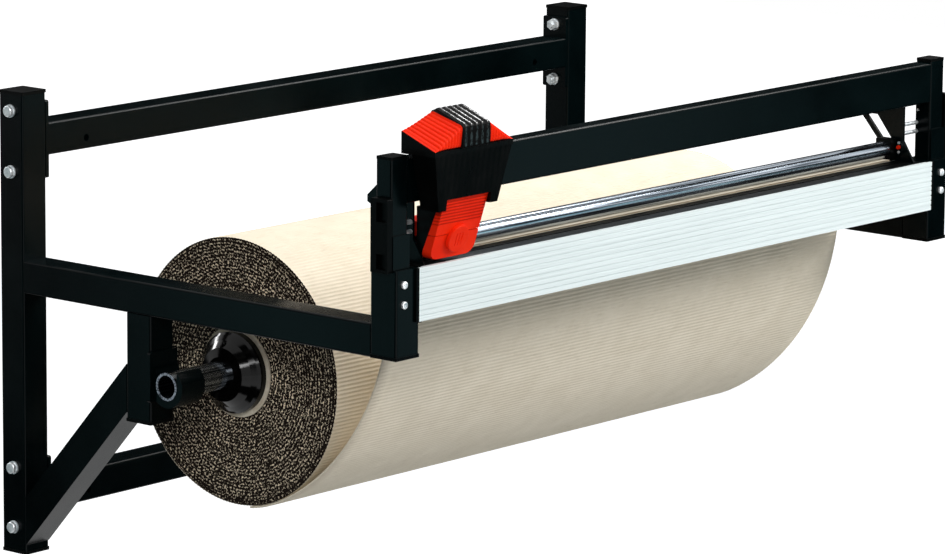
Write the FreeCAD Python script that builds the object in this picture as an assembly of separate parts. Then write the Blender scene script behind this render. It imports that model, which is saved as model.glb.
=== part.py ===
"""Wall-mounted cutter for rolls of corrugated wrapping paper.

Sizes are in millimetres. X runs along the roll, Y into the wall and Z up. While the pieces
are made, Z is the height above the feet of the wall posts and Y = 0 is the wall. The export
moves everything so that the origin is the centre of the four wall-fixing holes.
"""
import FreeCAD, Part
import math
import os

V = FreeCAD.Vector

# Frame: square tube, wall posts, beams and arms
TUBE = 40.0
TUBE_WALL = 2.0
TUBE_CORNER = 2.5
CUT_WIDTH = 1000.0
POST_HEIGHT = 576.0
CAP_THICK = 4.0
CAP_PROUD = 0.6
CAP_PLUG = 8.0
PLUG_CORNER = 1.0
PLUG_GAP = 0.05
UPPER_BEAM_Z = 514.0
LOWER_BEAM_Z = 70.0
BEAM_PLATE = 5.0
BEAM_PLATE_HEIGHT = 96.0
BOLT_SPACING = 75.0
ARM_Z = 348.0
ARM_REACH = 605.0

# Wall fixing: one sleeved hole near each end of both beams
FIXING_SPAN = 860.0
FIXING_DROP = 6.0
FIXING_HOLE = 8.5
SLEEVE_WALL = 1.25

# Bolts that hold the beams to the posts
BOLT = 8.0
BOLT_HOLE_GAP = 0.5
BOLT_HEAD_FLATS = 13.0
BOLT_HEAD = 5.3
WASHER_RADIUS = 8.0
WASHER_THICK = 1.6
NUT_THICK = 6.5
THREAD_PAST_NUT = 3.0
THREAD_GAP = 0.02

# Roll carrier: hangers, struts and cradles
HANGER_BACK = 214.0
HANGER_BELOW_STRUT = 10.3
STRUT_ANGLE = 48.0
STRUT_FOOT_Z = 12.0
AXLE_RADIUS = 17.0
AXLE_WALL = 3.0
AXLE_FIT = 0.06
AXLE_Z = 246.0
CRADLE_WALL = 9.0
CRADLE_LENGTH = 40.0
CRADLE_PLATE = 5.0
CRADLE_PLATE_WIDTH = 48.0
CRADLE_PLATE_TOP = 285.0
CRADLE_PLATE_BOTTOM = 224.0
CRADLE_LIP = 7.0
CRADLE_PLATE_PAST_TUBE = 2.0
CRADLE_WEB_BELOW = 14.0
SOCKET_SCREW = 6.0
SOCKET_HEAD = 10.0
SOCKET_HEAD_HIGH = 6.0
SOCKET_HEX = 5.0
SOCKET_HEX_DEEP = 3.0

# Paper roll, core and cones
ROLL_RADIUS = 165.0
ROLL_GAP_LEFT = 82.0
ROLL_GAP_RIGHT = 34.0
CORE_BORE = 92.0
CORE_WALL = 10.0
CORE_GAP = 0.05
CONE_FLANGE_RADIUS = 50.0
CONE_FLANGE_THICK = 12.0
CONE_HUB_INSIDE_FLANGE = 9.0
CONE_LENGTH = 28.0
CONE_NOSE_RADIUS = 22.0
CONE_DOME_RADIUS = 33.0
CONE_DOME_DEPTH = 3.0
CONE_PLUG_LENGTH = 42.0
CONE_PLUG_END_RADIUS = 40.0
CONE_WALL = 4.0
CONE_SLEEVE_RADIUS = 21.0
SET_SCREW = 6.0

# Table: front profile, bed and cutting strips
TABLE_Z = 433.0
PROFILE_HEIGHT = 63.0
PROFILE_FACE = 3.0
PROFILE_WALL = 2.5
PROFILE_LAP = 8.0
PROFILE_CAP = 5.0
GROOVES = 9
GROOVE_DEPTH = 0.7
GROOVE_WIDTH = 1.6
BED_BEHIND_POST = 38.0
BED_PLATE = 2.5
BED_LIP = 40.0
BED_CORNER = 10.0
SLOT_BEHIND_FRONT = 24.0
SLOT_WIDTH = 3.0
SLOT_DEPTH = 10.0
STRIP_THICK = 3.0
STRIP_BEHIND_FRONT = 38.5
PROFILE_LEDGE = 1.5
CLEAT = 5.0
CLEAT_IN_BED = 5.0
TABLE_SCREW_IN_BED = 17.0
TABLE_SCREW_Z = (386.0, 414.0)

# Paper web between the roll and the table
SHEET = 2.5
WEB_GAP = 0.4
WEB_START_ANGLE = 262.0
WEB_LEAVE_ANGLE = 244.5
WEB_BEHIND_BED = 41.0
WEB_CREST_OVER_BED = 6.0
WEB_ON_STRIP = 0.5

# Press bridge: legs, beam and guide rod
POST_TOP_Z = 430.0
LEG_WIDE = 28.6
LEG_DEEP = 24.0
LEG_WALL = 2.0
LEG_TOP = 564.5
LEG_CAP = 3.5
SPIGOT_FIT = 0.1
SPIGOT_BOTTOM = 342.0
LIFT = 35.0
LIFT_STOP_GAP = 1.0
GUIDE_SCREW_IN = 13.0
GUIDE_SCREW_Z = (392.5, 416.0)
GUIDE_SCREW = 6.0
GUIDE_HEAD = 9.0
GUIDE_HEAD_HIGH = 3.2
BEAM_DEEP = 25.0
BEAM_HIGH = 51.0
BEAM_TOP = 559.0
BEAM_BEHIND_LEG = 1.5
SIDE_COVER_THICK = 9.0
SIDE_COVER_PROUD = 2.0
SIDE_COVER_BOTTOM = 430.5
SIDE_COVER_TOP = 517.0
COVER_POCKET_DEPTH = 5.0
COVER_RIM = 3.0
POCKET_IN = 9.0
COVER_WINDOWS = ((434.5, 452.5), (490.0, 512.6))
FRONT_PLATE_THICK = 3.0
FRONT_PLATE_TOP = 473.0
ROD_RADIUS = 11.0
ROD_WALL = 2.5
ROD_BEHIND_SLOT = 25.0
ROD_CLEAR = 0.8
BLOCK_THICK = 12.0
BLOCK_FRONT_WALL = 0.5
BLOCK_BACK_WALL = 1.0
BLOCK_TOP = 462.0
BLOCK_SEAT = 0.3
BLOCK_SOCKET = 7.0
BRACKET_TO_LEG = 32.4
BRACKET_THICK = 3.0
BRACKET_BEHIND_SLOT = 2.0
BRACKET_TOE_AHEAD = 15.0
BRACKET_TAB_TOP = 548.0
BRACKET_SLOPE_LOW = (4.0, 461.5)
BRACKET_SLOPE_HIGH = (-19.0, 490.4)
BRACE_ANGLE = 48.6
BRACE_WIDE = 6.5
BRACE_THICK = 4.0
BRACE_TOP_Z = 498.5
SPACER_RADIUS = 2.75
SPACER_Z = (469.0, 480.4)
STUD_RADIUS = 2.5
PIN_RADIUS = 1.8
END_STUD_AHEAD = 16.3
END_STUD_Z = 451.0
END_PIN_Z = (444.6, 456.8)

# Cutter head on the rod
HEAD_CLEAR = 0.9
HEAD_HALF = 69.0
STRIP_HALF = 24.0
HEAD_FRONT_AHEAD = 56.0
HEAD_BACK_AHEAD = 4.5
HEAD_BACK_LOW_AHEAD = 20.0
CAP_FRONT_Z = 571.0
CAP_BACK_Z = 591.0
CROWN_FRONT_Z = 599.0
CROWN_BACK_Z = 614.5
CROWN_FRONT_AHEAD = 59.0
CROWN_BACK_AHEAD = 18.5
CROWN_SLOPE = 8.0
PAD_BELOW_CROWN = 2.0
PALM_RIBS = 5
PALM_RIB_HIGH = 1.2
WAIST_Z = 499.0
WAIST_HALF = 52.0
WAIST_FRONT_AHEAD = 47.0
HEAD_WALL = 3.0
HEAD_OVER_BEAM = 6.0
NOSE_HALF = 36.0
NOSE_BOTTOM_Z = 437.5
NOSE_CORNER = 10.5
COVER_TOP_FRONT_AHEAD = 45.0
COVER_LOW_FRONT_AHEAD = 21.0
COVER_THICK = 3.5
COVER_TOP_Z = 511.5
COVER_SPLIT_Z = 467.0
COVER_SPLIT_GAP = 0.8
COVER_GAP = 0.3
COVER_RIBS = 8
COVER_RIB_PITCH = 3.8
COVER_RIB_DEEP = 0.8
SKIRT = 2.5
SKIRT_LOW_DEPTH = 14.5
SKIRT_TOP_DEPTH = 6.5
KNOB_Z = 461.0
KNOB_RADIUS = 17.0
KNOB_HIGH = 4.6
KNOB_GAP = 0.4
KNOB_STEM = 5.0
STEM_FIT = 0.06
STEM_LENGTH = 8.0
STEM_HEAD_HIGH = 2.0
STEM_HEAD_RADIUS = 5.0
SHOE_HALF = 24.0
SHOE_TOP = 478.0
SHOE_WALL = 6.0
SHOE_FRONT_LOW = 461.5
SHOE_BOTTOM = 438.0
SHOE_FIT = 0.05
BLADE_THICK = 0.5
BLADE_HALF = 9.0
BLADE_TIP_Z = 426.0
BLADE_TOP_Z = 478.0
HOLDER_WALL = 2.7
HOLDER_DEEP = 5.5
HOLDER_GAP = 0.3
HOLDER_TOP_Z = 484.0

# Values worked out from the sizes above
INNER_X = CUT_WIDTH / 2
OUTER_X = INNER_X + TUBE
FIXING_Z = (LOWER_BEAM_Z - FIXING_DROP, UPPER_BEAM_Z - FIXING_DROP)
DATUM_Z = sum(FIXING_Z) / 2
POST_FRONT = ARM_REACH + TUBE
HANGER_FRONT = HANGER_BACK + TUBE
STRUT_RISE = (HANGER_BACK - TUBE) * math.tan(math.radians(STRUT_ANGLE))
HANGER_BOTTOM = STRUT_FOOT_Z + STRUT_RISE - HANGER_BELOW_STRUT
CUP_RADIUS = AXLE_RADIUS + AXLE_FIT
CUP_OUTER = CUP_RADIUS + CRADLE_WALL
AXLE_Y = HANGER_FRONT + CUP_OUTER
ROLL_LEFT = -(INNER_X - ROLL_GAP_LEFT)
ROLL_RIGHT = INNER_X - ROLL_GAP_RIGHT
CORE_RADIUS = CORE_BORE / 2 + CORE_WALL
TABLE_FRONT = POST_FRONT + PROFILE_FACE
STRIP_FRONT = POST_FRONT - PROFILE_WALL
STRIP_BACK = POST_FRONT - STRIP_BEHIND_FRONT
PROFILE_BACK = STRIP_BACK - PROFILE_LEDGE
PROFILE_END = INNER_X + PROFILE_LAP - PROFILE_CAP
TABLE_END = INNER_X - CLEAT
SLOT_Y = POST_FRONT - SLOT_BEHIND_FRONT
BED_BACK = ARM_REACH - BED_BEHIND_POST
CLEAT_BACK = BED_BACK + CLEAT_IN_BED
TABLE_SCREW_Y = BED_BACK + TABLE_SCREW_IN_BED
WEB_DROP_Y = max(BED_BACK - WEB_BEHIND_BED, AXLE_Y + ROLL_RADIUS + WEB_GAP)
WEB_CREST_RADIUS = BED_BACK - WEB_DROP_Y + WEB_CREST_OVER_BED
WEB_FRONT = STRIP_BACK + WEB_ON_STRIP
GUIDE_SCREW_X = OUTER_X - GUIDE_SCREW_IN
LEG_INNER_X = OUTER_X - LEG_WIDE
LEG_BACK = ARM_REACH + (TUBE - LEG_DEEP) / 2
LEG_FRONT = LEG_BACK + LEG_DEEP
BEAM_BACK = LEG_BACK - BEAM_BEHIND_LEG
BRACKET_X = LEG_INNER_X - BRACKET_TO_LEG
BRACKET_FRONT = SLOT_Y - BRACKET_BEHIND_SLOT
BRACKET_TOE = SLOT_Y + BRACKET_TOE_AHEAD
ROD_Y = SLOT_Y - ROD_BEHIND_SLOT
ROD_Z = TABLE_Z + SHEET + ROD_CLEAR + ROD_RADIUS
ROD_SHOWN = BRACKET_X - BLOCK_THICK
BLOCK_FRONT = ROD_Y + ROD_RADIUS + BLOCK_FRONT_WALL
BLOCK_BACK = ROD_Y - ROD_RADIUS - BLOCK_BACK_WALL
SPACER_Y = LEG_BACK + SPACER_RADIUS + 0.15
END_STUD_Y = ROD_Y + END_STUD_AHEAD
SHOE_BACK = ROD_Y - ROD_RADIUS - SHOE_WALL
NOSE_BACK = SLOT_Y
HEAD_FRONT = SLOT_Y + HEAD_FRONT_AHEAD
HEAD_BACK = SLOT_Y + HEAD_BACK_AHEAD
HEAD_BACK_LOW = SLOT_Y + HEAD_BACK_LOW_AHEAD
CROWN_FRONT = SLOT_Y + CROWN_FRONT_AHEAD
CROWN_BACK = SLOT_Y + CROWN_BACK_AHEAD
WAIST_FRONT = SLOT_Y + WAIST_FRONT_AHEAD
COVER_TOP_FRONT = SLOT_Y + COVER_TOP_FRONT_AHEAD
COVER_LOW_FRONT = SLOT_Y + COVER_LOW_FRONT_AHEAD
COVER_LEAN = math.atan2(COVER_TOP_FRONT - COVER_LOW_FRONT, COVER_TOP_Z - NOSE_BOTTOM_Z)
HEAD_STOP = min(LEG_INNER_X - HEAD_HALF, BRACKET_X - NOSE_HALF, ROD_SHOWN - SHOE_HALF)
HEAD_X = HEAD_CLEAR - HEAD_STOP
TRAVEL = -2 * HEAD_X

os.makedirs("parts", exist_ok=True)
node_count = 0


def save(name, shapes):
    """Write one node: its solids, moved so that the wall-fixing centre is the origin."""
    global node_count
    solids = shapes if isinstance(shapes, list) else [shapes]
    moved = [piece.translated(V(0, 0, -DATUM_Z)) for piece in solids]
    node = moved[0] if len(moved) == 1 else Part.makeCompound(moved)
    node.exportStep("parts/" + name + ".step")
    node_count += 1
    found = node.Solids
    print(f"{name:22s} solids {len(found):2d}  valid {node.isValid()}  volume {node.Volume / 1000:10.2f} cm3")


def box(x0, x1, y0, y1, z0, z1):
    """A block between two corners, with Y given as distances in front of the wall."""
    low = V(min(x0, x1), -max(y0, y1), min(z0, z1))
    return Part.makeBox(abs(x1 - x0), abs(y1 - y0), abs(z1 - z0), low)


def rod_x(radius, x0, x1, y, z):
    """A round bar along X."""
    return Part.makeCylinder(radius, abs(x1 - x0), V(min(x0, x1), -y, z), V(1, 0, 0))


def rod_y(radius, y0, y1, x, z):
    """A round bar along Y."""
    return Part.makeCylinder(radius, abs(y1 - y0), V(x, -max(y0, y1), z), V(0, 1, 0))


def plate_yz(points, x0, x1):
    """A flat plate: an outline of (distance from the wall, height) made thick along X."""
    corners = [V(min(x0, x1), -y, z) for y, z in points]
    face = Part.Face(Part.makePolygon(corners + corners[:1]))
    return face.extrude(V(abs(x1 - x0), 0, 0))


def plate_xz(points, y0, y1):
    """A flat plate: an outline of (X, height) made thick along Y."""
    corners = [V(x, -max(y0, y1), z) for x, z in points]
    face = Part.Face(Part.makePolygon(corners + corners[:1]))
    return face.extrude(V(0, abs(y1 - y0), 0))


def hull_between(lower, upper, z0, z1):
    """A tapered block between two rectangles (x0, x1, y0, y1) at two heights."""
    wires = []
    for (x0, x1, y0, y1), z in ((lower, z0), (upper, z1)):
        ring = [V(x0, -y0, z), V(x1, -y0, z), V(x1, -y1, z), V(x0, -y1, z)]
        wires.append(Part.makePolygon(ring + ring[:1]))
    return Part.makeLoft(wires, True, True)


def prism(points, direction):
    """Extrude a closed outline of points along a direction."""
    return Part.Face(Part.makePolygon(points + points[:1])).extrude(direction)


def edges_along(shape, axis):
    """The straight edges of a shape that run along one axis."""
    return [
        edge for edge in shape.Edges
        if edge.Curve.TypeId == "Part::GeomLine" and abs(abs(edge.tangentAt(0).dot(axis)) - 1) < 1e-6
    ]


def square_bar(x0, x1, y0, y1, z0, z1, axis, corner):
    """A bar with rounded edges along its axis."""
    bar = box(x0, x1, y0, y1, z0, z1)
    return bar.makeFillet(corner, edges_along(bar, axis))


def square_tube(x0, x1, y0, y1, z0, z1, axis, wall=TUBE_WALL):
    """A rounded square tube, open at both ends."""
    outer = square_bar(x0, x1, y0, y1, z0, z1, axis, TUBE_CORNER)
    side = V(wall, wall, wall) - axis * wall
    inner = square_bar(x0 + side.x, x1 - side.x, y0 + side.y, y1 - side.y, z0 + side.z, z1 - side.z,
                       axis, max(TUBE_CORNER - wall, 0.4))
    return outer.cut(inner)


def hexagon_x(flats, x0, x1, y, z):
    """A hexagonal bar along X, for a bolt head or a nut."""
    reach = flats / math.sqrt(3)
    ring = [
        V(min(x0, x1), -y + reach * math.sin(angle), z + reach * math.cos(angle))
        for angle in (math.radians(60 * number) for number in range(6))
    ]
    return prism(ring, V(abs(x1 - x0), 0, 0))


def mirrored(shape):
    """The same piece for the right-hand side."""
    return shape.mirror(V(0, 0, 0), V(1, 0, 0))


def both_sides(shape):
    """A left-hand piece and its mirror image."""
    return [shape, mirrored(shape)]


AXIS_X, AXIS_Y, AXIS_Z = V(1, 0, 0), V(0, 1, 0), V(0, 0, 1)
BOLT_HEIGHTS = [beam + side * BOLT_SPACING / 2 for beam in (LOWER_BEAM_Z, UPPER_BEAM_Z) for side in (-1, 1)]


def wall_post():
    """Left wall post: a tube with two pairs of bolt holes through it."""
    post = square_tube(-OUTER_X, -INNER_X, 0, TUBE, CAP_THICK, POST_HEIGHT - CAP_THICK, AXIS_Z)
    for height in BOLT_HEIGHTS:
        post = post.cut(rod_x(BOLT / 2 + BOLT_HOLE_GAP, -OUTER_X - 1, -INNER_X + 1, TUBE / 2, height))
    return post


def end_cap(y0, back, top, inward):
    """A plastic cap on a vertical left-hand tube; inward is the way its plug goes, up or down."""
    outer_z = top - inward * CAP_THICK
    cap = box(-OUTER_X - CAP_PROUD, -INNER_X + CAP_PROUD, back, y0 + TUBE + CAP_PROUD, outer_z, top)
    cap = cap.makeFillet(1.2, edges_along(cap, AXIS_Z))
    reach = TUBE_WALL + PLUG_GAP
    plug = square_bar(-OUTER_X + reach, -INNER_X - reach, y0 + reach, y0 + TUBE - reach, top,
                      top + inward * CAP_PLUG, AXIS_Z, PLUG_CORNER)
    return cap.fuse(plug).removeSplitter()


def back_beam(height):
    """A beam between the wall posts, with a sleeved wall-fixing hole near each end."""
    reach = INNER_X - BEAM_PLATE
    beam = square_tube(-reach, reach, 0, TUBE, height - TUBE / 2, height + TUBE / 2, AXIS_X)
    for side in (-1, 1):
        hole = rod_y(FIXING_HOLE / 2 + SLEEVE_WALL, -1, TUBE + 1, side * FIXING_SPAN / 2,
                     height - FIXING_DROP)
        beam = beam.cut(hole)
    return beam


def beam_plate(height):
    """The plate welded to a beam's left end and bolted to the post."""
    half = BEAM_PLATE_HEIGHT / 2
    plate = square_bar(-INNER_X, -INNER_X + BEAM_PLATE, 0, TUBE, height - half, height + half, AXIS_X,
                       TUBE_CORNER)
    for side in (-1, 1):
        hole = rod_x(BOLT / 2 + BOLT_HOLE_GAP, -INNER_X - 1, -INNER_X + BEAM_PLATE + 1, TUBE / 2,
                     height + side * BOLT_SPACING / 2)
        plate = plate.cut(hole)
    return plate


def fixing_sleeves():
    """Crush sleeves inside the beams, so that a wall bolt can't squash the tube."""
    sleeves = []
    for height in FIXING_Z:
        for side in (-1, 1):
            x = side * FIXING_SPAN / 2
            outer = rod_y(FIXING_HOLE / 2 + SLEEVE_WALL, 0, TUBE, x, height)
            sleeves.append(outer.cut(rod_y(FIXING_HOLE / 2, -1, TUBE + 1, x, height)))
    return sleeves


def frame_fasteners():
    """Bolts, washers and nuts through the left post and its beam plates."""
    bolts, washers, nuts = [], [], []
    head_x = -OUTER_X - WASHER_THICK
    plate_x = -INNER_X + BEAM_PLATE
    nut_x = plate_x + WASHER_THICK
    y = TUBE / 2
    for z in BOLT_HEIGHTS:
        head = hexagon_x(BOLT_HEAD_FLATS, head_x - BOLT_HEAD, head_x, y, z)
        crown = rod_x(BOLT_HEAD_FLATS / 2 + 0.4, head_x - BOLT_HEAD, head_x, y, z)
        crown = crown.makeChamfer(0.9, [crown.Edges[0], crown.Edges[2]])
        shank = rod_x(BOLT / 2, head_x - 0.1, nut_x + NUT_THICK + THREAD_PAST_NUT, y, z)
        bolts.append(head.common(crown).fuse(shank).removeSplitter())
        for x0 in (head_x, plate_x):
            ring = rod_x(WASHER_RADIUS, x0, x0 + WASHER_THICK, y, z)
            washers.append(ring.cut(rod_x(BOLT / 2 + BOLT_HOLE_GAP, x0 - 1, x0 + WASHER_THICK + 1, y, z)))
        nut = hexagon_x(BOLT_HEAD_FLATS, nut_x, nut_x + NUT_THICK, y, z)
        nuts.append(nut.cut(rod_x(BOLT / 2 + THREAD_GAP, nut_x - 1, nut_x + NUT_THICK + 1, y, z)))
    return bolts, washers, nuts


def side_arm():
    """Left side arm from the wall post to the front post."""
    return square_tube(-OUTER_X, -INNER_X, TUBE, ARM_REACH, ARM_Z - TUBE / 2, ARM_Z + TUBE / 2, AXIS_Y)


def front_post():
    """Left front post, open at the top for the bridge leg, with two guide-screw holes."""
    bottom = ARM_Z - TUBE / 2 + CAP_THICK
    post = square_tube(-OUTER_X, -INNER_X, ARM_REACH, POST_FRONT, bottom, POST_TOP_Z, AXIS_Z)
    for height in GUIDE_SCREW_Z:
        post = post.cut(rod_y(GUIDE_SCREW / 2 + THREAD_GAP, POST_FRONT - TUBE_WALL - 1, POST_FRONT + 1,
                              -GUIDE_SCREW_X, height))
    return post


def hanger():
    """Left hanger tube under the side arm, which carries the axle cradle."""
    return square_tube(-OUTER_X, -INNER_X, HANGER_BACK, HANGER_FRONT, HANGER_BOTTOM + CAP_THICK,
                       ARM_Z - TUBE / 2, AXIS_Z)


def strut():
    """Left strut, cut upright at both ends, from the wall post to the hanger."""
    cut_height = TUBE / math.cos(math.radians(STRUT_ANGLE))
    wall_height = TUBE_WALL / math.cos(math.radians(STRUT_ANGLE))

    def outline(inset):
        low = STRUT_FOOT_Z + inset
        high = STRUT_FOOT_Z + cut_height - inset
        return [(TUBE, low), (TUBE, high), (HANGER_BACK, high + STRUT_RISE), (HANGER_BACK, low + STRUT_RISE)]

    outer = plate_yz(outline(0), -OUTER_X, -INNER_X)
    inner = plate_yz(outline(wall_height), -OUTER_X + TUBE_WALL, -INNER_X - TUBE_WALL)
    return outer.cut(inner)


def axle_cradle():
    """Left cradle: an open-topped cup on a plate, welded to the hanger's front face."""
    x0 = -OUTER_X
    x1 = x0 + CRADLE_LENGTH
    cup = rod_x(CUP_OUTER, x0, x1, AXLE_Y, AXLE_Z)
    cup = cup.fuse(box(x0, x1, AXLE_Y - CUP_OUTER, AXLE_Y + CUP_OUTER, AXLE_Z, AXLE_Z + CRADLE_LIP))
    plate_x1 = -INNER_X + CRADLE_PLATE_PAST_TUBE
    plate = box(plate_x1 - CRADLE_PLATE_WIDTH, plate_x1, HANGER_FRONT, HANGER_FRONT + CRADLE_PLATE,
                CRADLE_PLATE_BOTTOM, CRADLE_PLATE_TOP)
    plate = plate.makeFillet(3.0, edges_along(plate, AXIS_Y))
    web = box(x0, x1, HANGER_FRONT, AXLE_Y, AXLE_Z - CRADLE_WEB_BELOW, AXLE_Z + CRADLE_LIP)
    cradle = cup.fuse([plate, web])
    bore = rod_x(CUP_RADIUS, x0 - 1, x1 + 1, AXLE_Y, AXLE_Z)
    mouth = box(x0 - 1, x1 + 1, AXLE_Y - CUP_RADIUS, AXLE_Y + CUP_RADIUS, AXLE_Z, AXLE_Z + CUP_OUTER)
    return cradle.cut([bore, mouth]).removeSplitter()


def socket_screw_x(x, y, z, length):
    """A socket-head screw along X on the left side, with its head outside x."""
    head = rod_x(SOCKET_HEAD / 2, x - SOCKET_HEAD_HIGH, x, y, z)
    shank = rod_x(SOCKET_SCREW / 2, x - 0.1, x + length, y, z)
    socket = hexagon_x(SOCKET_HEX, x - SOCKET_HEAD_HIGH - 0.1, x - SOCKET_HEAD_HIGH + SOCKET_HEX_DEEP, y, z)
    return head.fuse(shank).cut(socket).removeSplitter()


def axle_tube():
    """The chrome tube that carries the roll, flush with the posts' outer faces."""
    outer = rod_x(AXLE_RADIUS, -OUTER_X, OUTER_X, AXLE_Y, AXLE_Z)
    return outer.cut(rod_x(AXLE_RADIUS - AXLE_WALL, -OUTER_X - 1, OUTER_X + 1, AXLE_Y, AXLE_Z))


def core_cone(face_x):
    """A turned cone for the roll's left end: domed nose, flange and a hollow plug inside the core."""
    flange_x = face_x - CONE_FLANGE_THICK
    nose_x = face_x - CONE_LENGTH
    bore = AXLE_RADIUS + PLUG_GAP
    hub_radius = CONE_FLANGE_RADIUS - CONE_HUB_INSIDE_FLANGE
    profile = [
        V(nose_x, bore, 0), V(nose_x, CONE_NOSE_RADIUS, 0),
        V(nose_x + CONE_DOME_DEPTH, CONE_DOME_RADIUS, 0), V(flange_x - 5, hub_radius, 0),
        V(flange_x, CONE_FLANGE_RADIUS - 3, 0), V(flange_x + 3, CONE_FLANGE_RADIUS, 0),
        V(face_x, CONE_FLANGE_RADIUS, 0), V(face_x, CORE_BORE / 2 - CORE_GAP, 0),
        V(face_x + 12, CORE_BORE / 2 - CORE_GAP, 0), V(face_x + CONE_PLUG_LENGTH, CONE_PLUG_END_RADIUS, 0),
        V(face_x + CONE_PLUG_LENGTH, CONE_PLUG_END_RADIUS - CONE_WALL, 0),
        V(face_x + 4, CONE_PLUG_END_RADIUS - CONE_WALL, 0), V(face_x + 4, CONE_SLEEVE_RADIUS, 0),
        V(face_x + CONE_PLUG_LENGTH, CONE_SLEEVE_RADIUS, 0), V(face_x + CONE_PLUG_LENGTH, bore, 0),
    ]
    cone = Part.Face(Part.makePolygon(profile + profile[:1])).revolve(V(0, 0, 0), AXIS_X, 360)
    cone = cone.translated(V(0, -AXLE_Y, AXLE_Z))
    x, radius = nose_x + 7, SET_SCREW / 2 + THREAD_GAP
    return cone.cut(Part.makeCylinder(radius, CONE_FLANGE_RADIUS, V(x, -AXLE_Y, AXLE_Z), AXIS_Z))


def set_screw(face_x):
    """The grub screw that clamps the left cone to the axle."""
    x = face_x - CONE_LENGTH + 7
    return Part.makeCylinder(SET_SCREW / 2, 9.0, V(x, -AXLE_Y, AXLE_Z + AXLE_RADIUS), AXIS_Z)


def for_right_end(piece):
    """Turn a left-end piece of the roll round to its right end."""
    middle = (ROLL_LEFT + ROLL_RIGHT) / 2
    return piece.mirror(V(middle, 0, 0), V(1, 0, 0))


def paper_roll():
    """The wound paper on its core."""
    outer = rod_x(ROLL_RADIUS, ROLL_LEFT, ROLL_RIGHT, AXLE_Y, AXLE_Z)
    return outer.cut(rod_x(CORE_RADIUS + CORE_GAP, ROLL_LEFT - 1, ROLL_RIGHT + 1, AXLE_Y, AXLE_Z))


def roll_core():
    """The cardboard tube inside the roll."""
    outer = rod_x(CORE_RADIUS, ROLL_LEFT, ROLL_RIGHT, AXLE_Y, AXLE_Z)
    return outer.cut(rod_x(CORE_BORE / 2, ROLL_LEFT - 1, ROLL_RIGHT + 1, AXLE_Y, AXLE_Z))


def web_side(offset):
    """One face of the paper web as (distance from wall, height) points with arcs through middles.

    offset is the distance from the web's inner face. The path hugs the roll, leaves it on a
    tangent, bends upright and goes over the back of the table.
    """
    inner = ROLL_RADIUS + WEB_GAP
    radius = inner + offset

    def on_roll(angle):
        turn = math.radians(angle)
        return (AXLE_Y - radius * math.cos(turn), AXLE_Z + radius * math.sin(turn))

    start, leave = on_roll(WEB_START_ANGLE), on_roll(WEB_LEAVE_ANGLE)
    hug_middle = on_roll((WEB_START_ANGLE + WEB_LEAVE_ANGLE) / 2)

    # The free arc starts along the roll's tangent and ends upright, so its radius follows
    # from how far the upright stretch stands in front of the point where the web leaves
    heading = math.radians(WEB_LEAVE_ANGLE - 180)
    leave_inner = AXLE_Y + inner * math.cos(heading)
    free_radius = (WEB_DROP_Y - leave_inner) / (1 - math.cos(heading))
    centre = (leave_inner - (free_radius * math.cos(heading)), AXLE_Z - inner * math.sin(heading))
    centre = (centre[0], centre[1] + free_radius * math.sin(heading))
    bend = free_radius + offset
    bend_middle = (centre[0] + bend * math.cos(heading / 2), centre[1] - bend * math.sin(heading / 2))
    upright_low = (WEB_DROP_Y + offset, centre[1])

    crest_centre = (WEB_DROP_Y + WEB_CREST_RADIUS + SHEET, TABLE_Z - WEB_CREST_RADIUS)
    crest = WEB_CREST_RADIUS + SHEET - offset
    upright_high = (WEB_DROP_Y + offset, crest_centre[1])
    crest_middle = (crest_centre[0] - crest * math.sqrt(0.5), crest_centre[1] + crest * math.sqrt(0.5))
    crest_end = (crest_centre[0], crest_centre[1] + crest)
    front = (WEB_FRONT, crest_end[1])
    return [(start, hug_middle, leave), (leave, bend_middle, upright_low), (upright_low, upright_high),
            (upright_high, crest_middle, crest_end), (crest_end, front)]


def paper_web():
    """The sheet that runs from the roll over the table, as one bent solid."""

    def point(place):
        return V(ROLL_LEFT, -place[0], place[1])

    def edges(side):
        made = []
        for run in side:
            ends = [point(place) for place in run]
            made.append(Part.Arc(*ends).toShape() if len(ends) == 3 else Part.makeLine(*ends))
        return made

    roll_face, free_face = web_side(0), web_side(SHEET)
    closing = [Part.makeLine(point(roll_face[0][0]), point(free_face[0][0])),
               Part.makeLine(point(roll_face[-1][-1]), point(free_face[-1][-1]))]
    wire = Part.Wire(Part.__sortEdges__(edges(roll_face) + edges(free_face) + closing))
    return Part.Face(wire).extrude(V(ROLL_RIGHT - ROLL_LEFT, 0, 0))


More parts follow.
